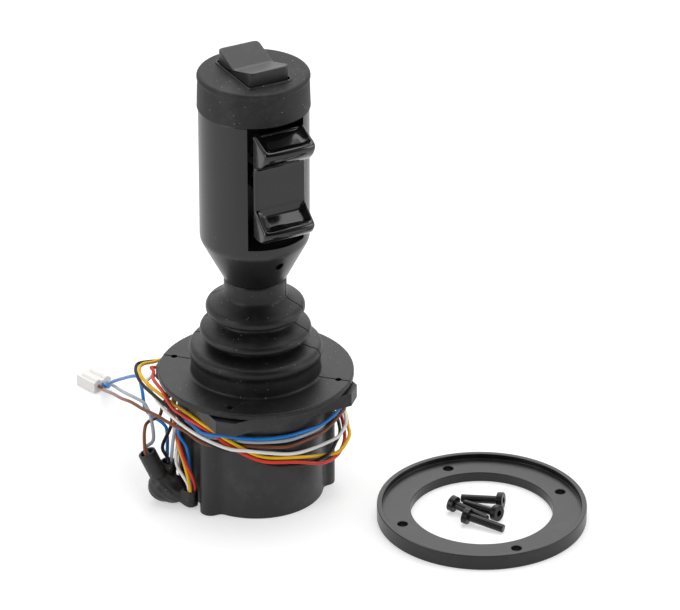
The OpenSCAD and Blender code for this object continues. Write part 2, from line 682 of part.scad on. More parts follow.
// A cylinder of radius r from point a to point b
module strut(a, b, r) {
    v = b - a;
    translate(a) rotate([0, acos(v[2] / norm(v)), atan2(v[1], v[0])]) cylinder(r = r, h = norm(v));
}

// Shrunk sleeve over the splices: two blended balls on the floor and three mouths
ball_a = [-40.5, 8, 6.8];
ball_b = [-37.5, 4.5, 6.2];
mouth_1 = [-46.5, 11.5, 23];
mouth_2 = [-37, 10, 17];
mouth_3 = [-33, -3, 8.5];
root_1 = [-41.5, 8.5, 10];

module splice_sleeve() color("#202022") difference() {
    union() {
        hull() {
            translate(ball_a) sphere(r = ball_a[2], $fn = 32);
            translate(ball_b) sphere(r = ball_b[2], $fn = 32);
        }
        hull() {
            translate(ball_b) sphere(r = 3.2, $fn = 32);
            translate([mouth_3[0], mouth_3[1], 1]) cylinder(r = 3, h = mouth_3[2] - 1, $fn = 32);
        }
        strut(root_1, mouth_1, 3.9);
        strut([mouth_2[0], mouth_2[1], ball_a[2]], mouth_2, 3.4);
    }
    strut(mouth_1 - 2.5 * unit(mouth_1 - root_1), mouth_1 + unit(mouth_1 - root_1), 2.8);
    strut(mouth_2 - [0, 0, 4], mouth_2 + [0, 0, 1], 2.6);
    strut(mouth_3 - [0, 0, 3.5], mouth_3 + [0, 0, 3], 2.4);
}

// Three-way plug lying on the floor; its wires enter the face at x = 0 of its own frame
plug_at = [-20.5, 107.5, 0];
plug_turn = -75;
way_z = 3;
way_w = 1.8;
way_end = 3;

module plug_housing() color("#efefec") translate(plug_at) rotate(plug_turn) difference() {
    union() {
        translate([-plug_l, -plug_w / 2, 0]) cube([plug_l, plug_w, plug_h - 1]);
        for (s = [-1, 1]) translate([-plug_l / 2 + 1, s * plug_w / 4, plug_h - 1.6])
            rod_x(3.2, plug_l - 2);
    }
    for (k = [-1, 0, 1]) translate([-plug_l - e, k * plug_pitch - way_w / 2, way_z - way_w / 2])
        cube([plug_l + e - way_end, way_w, way_w]);
}

module plug_contacts() color("#c9b27a") translate(plug_at) rotate(plug_turn)
    for (k = [-1, 0, 1])
        translate([-plug_l + 1.5, k * plug_pitch - way_w / 2 + 0.2, way_z - way_w / 2])
            cube([plug_l - 1.5 - way_end, way_w - 0.4, way_w - 0.4]);

// Routes of the wires, in round numbers
yellow_route = [
    [-1.4, 31.5, 36.9], [-1.4, 33, 36.9], [1.1, 38.9, 36.9], [5.3, 39.6, 37.2], [16, 30.5, 39.5],
    [24, 22.5, 38], [32, 13.5, 36.5], [36.5, 3, 35.5], [37.5, -8, 32.5], [34, -19, 29],
    [31.5, -24.5, 27.5], [24.5, -28.5, 24], [17.5, -28, 24], [3.5, -30, 27.5], [-12, -28, 31],
    [-22, -23, 37], [-31, -16, 44], [-34, -4.5, 45.5], [-35, 10, 44.5], [-37.5, 21, 46],
    [-38.5, 30.5, 47.5], [-37, 36.5, 48.5], [-34, 39, 49], [-29, 39.5, 48.5], [-23, 38.5, 49],
    [-18, 36, 47], [-18, 33.5, 45.5], [-23, 28, 45], [-28, 22, 41.5], [-31, 17, 37],
    [-33, 12, 32.5], [-34, 6, 25], [-34, 1, 19], [-34, -4, 10.5], [-34, -4, 5]];

red_route = [
    [1.4, 31.5, 36.9], [1.4, 33, 36.9], [1.9, 36.1, 36.9], [6.6, 39.3, 35.4], [17.5, 32.5, 36.5],
    [25.5, 23.5, 36], [31.5, 15, 35], [35.5, 3.5, 33], [36, -7.5, 30.5], [32, -19.5, 26.5],
    [28.5, -24.5, 24], [23.5, -28, 22], [15, -31.5, 22.5], [2.5, -31, 26], [-12, -28.5, 29],
    [-22.5, -23, 35], [-29.5, -17, 41], [-36, -5, 45], [-37.5, 4.5, 45.5], [-36, 16, 47],
    [-34.5, 28, 47], [-32, 33, 48], [-31.5, 35.5, 48.5], [-25.5, 34.5, 46.5], [-26, 29.5, 46.5],
    [-30, 24, 44], [-33.5, 17.5, 40], [-33.5, 10.5, 34.5], [-34, 6, 28], [-34.5, 0, 22],
    [-32, -4, 12], [-32, -4, 5]];

black_route = [
    [4.2, 31.5, 36.9], [4.2, 33, 36.9], [6.2, 35.3, 36.4], [8.9, 36.5, 36.4], [15.5, 30.5, 36],
    [23, 23, 35], [31.5, 15, 33], [34, 4, 31.5], [33.5, -8.5, 30], [29.5, -20, 28.5],
    [24.5, -25.5, 27], [18.5, -30, 25], [9.5, -29.5, 23], [-2, -30, 24.5], [-11.5, -27.5, 27.5],
    [-20.5, -22.5, 33], [-27.5, -20, 35], [-34, -10.5, 38.5], [-36, 4, 42], [-38.5, 16.5, 44.5],
    [-39.5, 28.5, 45.5], [-38, 37.5, 46.5], [-35.5, 42, 47.5], [-32, 43, 47.5], [-23, 42, 46.5],
    [-17, 39.5, 46], [-13.5, 35.5, 44], [-15.5, 33, 42.5], [-22, 28.5, 40.5], [-27, 24, 38],
    [-29.5, 21, 35.5], [-32.5, 16, 30], [-38, 13.5, 22.5], [-38, 9, 19], [-38, 9, 13]];

white_route = [
    [-4.2, 31.5, 39.1], [-4.2, 33, 39.1], [-3.2, 38.1, 37.6], [1.5, 43.9, 39.9], [18.5, 34.5, 39.5],
    [27, 25.5, 40], [33.5, 16, 39], [37, 4, 38], [37, -6.5, 35.5], [33, -19, 32], [28.5, -23.5, 30],
    [23.5, -26, 29], [10, -29, 29], [0.5, -30, 30], [-9.5, -30, 33], [-18.5, -27, 35],
    [-25.5, -23, 36], [-33.5, -15, 39.5], [-37, -4, 41], [-38, 9.5, 41.5], [-38, 20, 43],
    [-37, 28, 44.5], [-36, 31, 45.5], [-32, 32.5, 46], [-27.5, 31.5, 45.5], [-23.5, 27, 42.5],
    [-25.5, 24, 41], [-28, 21, 38.5], [-30.5, 17, 35], [-33, 12, 29], [-33, 9, 25.5],
    [-35.5, 5.5, 17.5], [-34, -2, 10.5], [-34, -2, 5]];

blue_route = [
    [1.4, 31.5, 39.1], [1.4, 33, 39.1], [1.9, 36.1, 40.1], [7.6, 39.3, 40.2], [16.5, 32, 41.5],
    [24, 22, 40], [30.5, 15.5, 40.5], [35.5, 4.5, 39.5], [32, -16, 40], [29, -20, 39],
    [23, -24, 38.5], [17, -26.5, 38], [7.5, -29, 38.5], [-2, -30, 39], [-12, -28, 39.5],
    [-20.5, -23.5, 40], [-27, -22, 42], [-33, -15, 41.5], [-33.5, -1, 41.5], [-34, 2, 41],
    [-35.5, 3, 33.5], [-32.5, 1.5, 26.5], [-32, 0, 18.5], [-32, -2, 10.5], [-32, -2, 5]];

grey_route = [
    [4.2, 31.5, 39.1], [4.2, 33, 39.1], [6.2, 35.3, 38.6], [8.9, 36.5, 40.1], [15.5, 29, 42.5],
    [23, 22, 42], [30.5, 16, 43], [33.5, 6.5, 40.5], [32, -16, 36], [28, -18.5, 36],
    [22.5, -22.5, 37], [15.5, -26, 36], [6.5, -29, 36.5], [-2, -30, 37], [-11.5, -27.5, 37.5],
    [-18, -24.5, 38], [-22, -20, 38], [-32, -14, 39.5], [-32.5, -3.5, 40], [-32, 3.5, 38],
    [-35.5, 6, 34], [-36, 9, 19], [-36, 9, 13]];

brown_route = [
    [-1.4, 31.5, 39.1], [-1.4, 33, 39.1], [-1.4, 36.9, 39.6], [4.3, 41.6, 38.4], [18, 33, 38.5],
    [25.5, 24, 40], [31, 16, 38.5], [35, 2, 37.5], [33.5, -16, 38], [30.5, -19.5, 37],
    [26, -22.5, 36], [19, -25.5, 34], [8, -29, 34], [-1.5, -30, 34], [-11.5, -28, 35.5],
    [-20, -22, 35.5], [-27, -17, 34.5], [-33, -12.5, 36], [-35.5, -4, 37.5], [-38.5, 4.5, 38],
    [-41, 13.5, 38.5], [-42.5, 22, 37.5], [-43, 32.5, 36], [-42, 44, 32], [-38.5, 59, 26],
    [-34, 75, 18.5], [-28.5, 90, 10.5], [-22, 103.5, 3], [-22.9, 106.9, 3]];

plug_blue_route = [
    [-20.5, 107.5, 3], [-19.6, 104.1, 3], [-22, 95.8, 9.7], [-25, 83.3, 17.8], [-28.5, 69, 26.5],
    [-31, 56.5, 34], [-31.5, 49.5, 37.5], [-32, 46.5, 37.5], [-34, 40, 35], [-36, 33.5, 30.5],
    [-34.5, 29.5, 28.5], [-32, 24, 26.5], [-32.5, 20, 24.5], [-37, 11, 19], [-37, 11, 13]];

plug_grey_route = [
    [-18.1, 108.1, 3], [-17.2, 104.8, 3], [-22.7, 89.8, 10.7], [-28.7, 73.6, 18.6], [-33.5, 57, 26],
    [-36.5, 43.5, 31.5], [-37.5, 33, 34.5], [-38, 28, 34.5], [-40, 20, 33.5], [-41.5, 15, 26],
    [-46.4, 12.8, 24.4], [-45, 12, 20.7]];

sleeve_brown_route = [
    [-4.2, 31.5, 36.9], [-4.2, 33, 36.9], [-5.7, 35.7, 36.9], [-9.4, 37, 36.6], [-17.5, 34, 36.5],
    [-25.5, 30.5, 35.5], [-30.5, 27.5, 34.5], [-33.5, 25, 30.5], [-43, 19, 31.5],
    [-47.6, 10.8, 24.4], [-46.2, 9.9, 20.8]];

module wire_yellow() color("#e9c21f") wire(yellow_route, 2);
module wire_red() color("#d8301f") wire(red_route, 2);
module wire_black() color("#1b1b1d") wire(black_route, 2);
module wire_white() color("#eceae4") wire(white_route, 2);
module wire_blue() color("#2a6fc4") wire(blue_route, 3);
module wire_grey() color("#8d9196") wire(grey_route, 3);
module wire_brown() color("#8a5230") wire(brown_route, 2);
module plug_lead_blue() color("#2a6fc4") wire(plug_blue_route, 3);
module plug_lead_grey() color("#8d9196") wire(plug_grey_route, 3);
module sleeve_lead_brown() color("#8a5230") wire(sleeve_brown_route, 3);

base_housing();
mounting_plate();
plate_screws();
bottom_cover();
circuit_board();
board_screws();
hall_sensor();
bearing_frame();
spring_seat();
seat_screws();
wire_grommet();
boot();
gimbal_ring();
gimbal_pins();
stick_pins();
pivot_block();
stick_shaft();
magnet_holder();
sensing_magnet();
centering_spring();
spring_collar();
grip_shell();
set_screw();
grip_chassis();
paddle_sensor();
paddle_spring();
rubber_cap();
top_switch_body();
switch_terminals();
top_rocker();
rocker_pin();
paddle_rocker();
paddle_pin();
paddle_magnet();
panel_ring();
panel_screws();
splice_sleeve();
plug_housing();
plug_contacts();
wire_yellow();
wire_red();
wire_black();
wire_white();
wire_blue();
wire_grey();
wire_brown();
plug_lead_blue();
plug_lead_grey();
sleeve_lead_brown();
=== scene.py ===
"""Looks for a two-axis hand-grip joystick with its harness, panel ring and loose screws.
Every mesh is in metres in the frame of the solids: origin under the housing, -Y the paddle side.
"""

import math

import bpy
import numpy as np
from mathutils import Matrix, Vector


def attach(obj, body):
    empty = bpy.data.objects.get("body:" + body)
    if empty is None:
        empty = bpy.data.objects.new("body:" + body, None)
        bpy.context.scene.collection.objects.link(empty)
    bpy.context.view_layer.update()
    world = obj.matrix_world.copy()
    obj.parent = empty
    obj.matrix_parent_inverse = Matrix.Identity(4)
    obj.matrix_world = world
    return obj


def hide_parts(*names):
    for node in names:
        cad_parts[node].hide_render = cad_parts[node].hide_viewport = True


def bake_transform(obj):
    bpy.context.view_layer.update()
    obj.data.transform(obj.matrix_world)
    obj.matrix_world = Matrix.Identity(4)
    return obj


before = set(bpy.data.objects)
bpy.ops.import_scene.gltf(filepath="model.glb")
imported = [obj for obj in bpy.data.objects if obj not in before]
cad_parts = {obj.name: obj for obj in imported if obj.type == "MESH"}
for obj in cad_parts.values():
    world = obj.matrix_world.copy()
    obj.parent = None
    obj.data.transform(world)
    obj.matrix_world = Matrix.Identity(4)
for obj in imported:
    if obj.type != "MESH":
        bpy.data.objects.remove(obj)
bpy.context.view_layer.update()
scene = bpy.context.scene
scene.view_settings.view_transform = "Standard"

# ---- The view ---------------------------------------------------------------
# A long lens looks down at the stick from its front left, from about two metres away, so that
# the stick, its harness, the ring and the screws are all in view.

view_turn, view_rise, view_reach = math.radians(-28.5), math.radians(27.716), 2.1572
view_back = Vector((math.sin(view_turn) * math.cos(view_rise),
                    -math.cos(view_turn) * math.cos(view_rise), math.sin(view_rise)))
view_camera = bpy.data.cameras.new("view")
view_camera.sensor_width = 36.0
view_camera.lens = 272.15
view_camera.clip_start, view_camera.clip_end = 0.1, 20.0
view_eye = bpy.data.objects.new("view", view_camera)
view_eye.rotation_mode = "QUATERNION"
view_eye.location = Vector((0.0312, -0.01695, 0.08696)) + view_back * view_reach
view_eye.rotation_quaternion = (-view_back).to_track_quat("-Z", "Y")
scene.collection.objects.link(view_eye)
scene.camera = view_eye

# ---- Harness wires ----------------------------------------------------------
# Stranded hook-up wire, 1.5 mm over its soft insulation. Seven wires leave the rubber plug at the
# back of the housing, are led round it under the mounting plate, and end in the shrunk sleeve or
# in the white plug; three more leads join the sleeve and the plug.


def shade(mesh, sharp=None):
    """Shades a mesh smooth, save across edges sharper than this angle in degrees."""
    mesh.polygons.foreach_set("use_smooth", np.ones(len(mesh.polygons), bool))
    if sharp:
        mesh.set_sharp_from_angle(angle=math.radians(sharp))
    mesh.update()


def new_piece(name, points, faces, sharp=None):
    """A shaded piece of these points and faces."""
    mesh = bpy.data.meshes.new(name)
    mesh.from_pydata(points.tolist(), [], faces)
    shade(mesh, sharp)
    piece = bpy.data.objects.new(name, mesh)
    scene.collection.objects.link(piece)
    return piece


def surface(name, points, wrap_u=False, wrap_v=True, cap=False, sharp=35.0):
    """A piece whose skin is the grid points[i, j]. Quads join (i, j), (i+1, j), (i+1, j+1) and
    (i, j+1); wrap_u and wrap_v join the last row or column to the first, and cap closes the first
    and last rows with one face each. The enclosed volume is the sum of a . (b x c) / 6 over the
    triangles, and where it comes out negative every face is turned round."""
    rows, columns = points.shape[:2]
    index = np.arange(rows * columns).reshape(rows, columns)
    a, b = (index, np.roll(index, -1, 0)) if wrap_u else (index[:-1], index[1:])
    if wrap_v:
        c, d = np.roll(b, -1, 1), np.roll(a, -1, 1)
    else:
        a, b, c, d = a[:, :-1], b[:, :-1], b[:, 1:], a[:, 1:]
    quads = np.stack([a, b, c, d], -1).reshape(-1, 4)
    flat = points.reshape(-1, 3).astype(float)
    p = flat - flat.mean(0)
    faces = quads.tolist()
    volume = sum(np.einsum("ij,ij->", p[quads[:, 0]], np.cross(p[quads[:, m]], p[quads[:, m + 1]]))
                 for m in (1, 2))
    if cap:
        faces += [index[0].tolist(), index[-1][::-1].tolist()]
        for loop in (index[0], index[-1][::-1]):
            q = p[loop]
            volume += np.einsum("j,ij->", q[0], np.cross(q[1:-1], q[2:]))
    if volume < 0:
        faces = [f[::-1] for f in faces]
    return new_piece(name, flat, faces, sharp)


def smooth_line(route, steps):
    """Points on the smooth cubic through the route's points: on each span from b to c, with a
    before and d after it, half of 2b + (c-a)t + (2a-5b+4c-d)t2 + (3b-a-3c+d)t3."""
    r = np.asarray(route, float)
    r = np.vstack([r[:1], r, r[-1:]])
    a, b, c, d = (r[k:len(r) - 3 + k, None, :] for k in range(4))
    t = np.linspace(0, 1, steps, endpoint=False)[None, :, None]
    line = 0.5 * (2 * b + (c - a) * t + (2 * a - 5 * b + 4 * c - d) * t ** 2
                  + (3 * b - a - 3 * c + d) * t ** 3)
    return np.vstack([line.reshape(-1, 3), r[-1:]])


def round_tube(line, radius, around=12):
    """A tube's grid: at each point of the line, a circle of the radius in the plane square to the
    line, whose first side vector is carried from ring to ring with its share along the line
    taken out."""
    ahead = np.gradient(line, axis=0)
    ahead /= np.linalg.norm(ahead, axis=1)[:, None]
    side = np.empty_like(ahead)
    hint = np.array([0, 0, 1.0]) if abs(ahead[0, 2]) < 0.8 else np.array([1.0, 0, 0])
    for i, t in enumerate(ahead):
        hint = hint - (hint @ t) * t
        hint /= np.linalg.norm(hint)
        side[i] = hint
    up = np.cross(ahead, side)
    a = np.linspace(0, 2 * np.pi, around, endpoint=False)[None, :, None]
    return line[:, None] + radius * (np.cos(a) * side[:, None] + np.sin(a) * up[:, None])


def add(tree, kind, settings=None, **values):
    """Adds a node to a node tree. A value is set on the input of that name, with _ for a space,
    or of that number after _; another node's output is linked to it instead."""
    node = tree.nodes.new("ShaderNode" + kind)
    for key, value in (settings or {}).items():
        setattr(node, key, value)
    for key, value in values.items():
        slot = node.inputs[int(key[1:])] if key[0] == "_" else node.inputs[key.replace("_", " ")]
        if isinstance(value, bpy.types.NodeSocket):
            tree.links.new(value, slot)
        else:
            slot.default_value = value
    return node


def maths(tree, operation, *values):
    """The result of a maths node with these values."""
    return add(tree, "Math", {"operation": operation},
               **{f"_{k}": value for k, value in enumerate(values)}).outputs[0]


def mixed(tree, share, first, second):
    """The colour that lies between the first and the second by the share."""
    return add(tree, "Mix", {"data_type": "RGBA"}, _0=share, _6=first, _7=second).outputs[2]


def effect(name, inputs, outputs):
    """An empty node group with a Vector input, the named number inputs and their first values,
    and number outputs. Returns the group, its input node and its output node."""
    tree = bpy.data.node_groups.new(name, "ShaderNodeTree")
    tree.interface.new_socket(name="Vector", in_out="INPUT", socket_type="NodeSocketVector")
    for key, value in inputs.items():
        tree.interface.new_socket(name=key, in_out="INPUT",
                                  socket_type="NodeSocketFloat").default_value = value
    for key in outputs:
        tree.interface.new_socket(name=key, in_out="OUTPUT", socket_type="NodeSocketFloat")
    return tree, tree.nodes.new("NodeGroupInput"), tree.nodes.new("NodeGroupOutput")


# Grain: Cloudy is a slow mottling and Fine the small texture of moulding, both from 0 to 1.
grain, grain_in, grain_out = effect("grain", {"Fine Scale": 2500.0, "Cloud Scale": 60.0},
                                    ["Cloudy", "Fine"])
grain_cloud = add(grain, "TexNoise", Vector=grain_in.outputs["Vector"],
                  Scale=grain_in.outputs["Cloud Scale"], Detail=3.0, Roughness=0.55)
grain_spread = add(grain, "MapRange", Value=grain_cloud.outputs[0], From_Min=0.3, From_Max=0.7)
grain_fine = add(grain, "TexNoise", Vector=grain_in.outputs["Vector"],
                 Scale=grain_in.outputs["Fine Scale"], Detail=2.0, Roughness=0.6)
grain.links.new(grain_spread.outputs[0], grain_out.inputs["Cloudy"])
grain.links.new(grain_fine.outputs[0], grain_out.inputs["Fine"])

# Dust: Specks is 1 on tiny scattered specks, and Smears a faint cloudy film, from 0 to 1.
dust, dust_in, dust_out = effect("dust", {"Scale": 1100.0, "Share": 0.12}, ["Specks", "Smears"])
dust_cells = add(dust, "TexVoronoi", Vector=dust_in.outputs["Vector"],
                 Scale=dust_in.outputs["Scale"])
dust_chance = add(dust, "SeparateColor", Color=dust_cells.outputs["Color"])
dust_size = add(dust, "MapRange", Value=dust_chance.outputs["Red"], From_Min=0.0,
                From_Max=dust_in.outputs["Share"], To_Min=0.26, To_Max=0.0)
dust_speck = maths(dust, "LESS_THAN", dust_cells.outputs["Distance"], dust_size.outputs[0])
dust_film = add(dust, "TexNoise", Vector=dust_in.outputs["Vector"], Scale=90.0, Detail=5.0,
                Roughness=0.7)
dust_smear = add(dust, "MapRange", Value=dust_film.outputs[0], From_Min=0.5, From_Max=0.75)
dust.links.new(dust_speck, dust_out.inputs["Specks"])
dust.links.new(dust_smear.outputs[0], dust_out.inputs["Smears"])


def finish(name, dark, light, rough, rough_swing=0.06, fine_scale=2500.0, cloud_scale=60.0,
           bump=0.1, metallic=0.0, specks=0.0, smears=0.0, share=0.12, specular=0.5):
    """A material of one real finish: its colour lies between dark and light by the grain's cloudy
    value, its roughness swings by the fine value, which also gives the bump, and dust of the
    given strengths lies over the colour, with specks in that share of the cells."""
    material = bpy.data.materials.new(name)
    material.use_nodes = True
    tree = material.node_tree
    skin = tree.nodes["Principled BSDF"]
    place = add(tree, "TexCoord").outputs["Object"]
    mottle = add(tree, "Group", {"node_tree": grain}, Vector=place, Fine_Scale=fine_scale,
                 Cloud_Scale=cloud_scale)
    colour = mixed(tree, mottle.outputs["Cloudy"], (*dark, 1.0), (*light, 1.0))
    if specks or smears:
        dirt = add(tree, "Group", {"node_tree": dust}, Vector=place, Share=share)
        for mask, strength, grime in ((dirt.outputs["Smears"], smears, (0.35, 0.35, 0.36, 1.0)),
                                      (dirt.outputs["Specks"], specks, (0.62, 0.62, 0.62, 1.0))):
            colour = mixed(tree, maths(tree, "MULTIPLY", mask, strength), colour, grime)
    tree.links.new(colour, skin.inputs["Base Color"])
    gloss = add(tree, "MapRange", Value=mottle.outputs["Fine"], From_Min=0.25, From_Max=0.75,
                To_Min=max(rough - rough_swing, 0.02), To_Max=min(rough + rough_swing, 1.0))
    tree.links.new(gloss.outputs[0], skin.inputs["Roughness"])
    relief = add(tree, "Bump", Strength=bump, Distance=0.0002, Height=mottle.outputs["Fine"])
    tree.links.new(relief.outputs[0], skin.inputs["Normal"])
    skin.inputs["Metallic"].default_value = metallic
    skin.inputs["Specular IOR Level"].default_value = specular
    return material


def wear(piece, material):
    """Gives a piece or a node this one material."""
    piece.data.materials.clear()
    piece.data.materials.append(material)


def settle(piece, material, body, node):
    """Gives a piece its material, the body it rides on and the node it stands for."""
    wear(piece, material)
    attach(piece, body)
    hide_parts(node)


def dress(names, material):
    """Gives carried-over nodes this material in place of their plain one."""
    for name in names.split():
        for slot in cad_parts[name].material_slots:
            slot.material = material


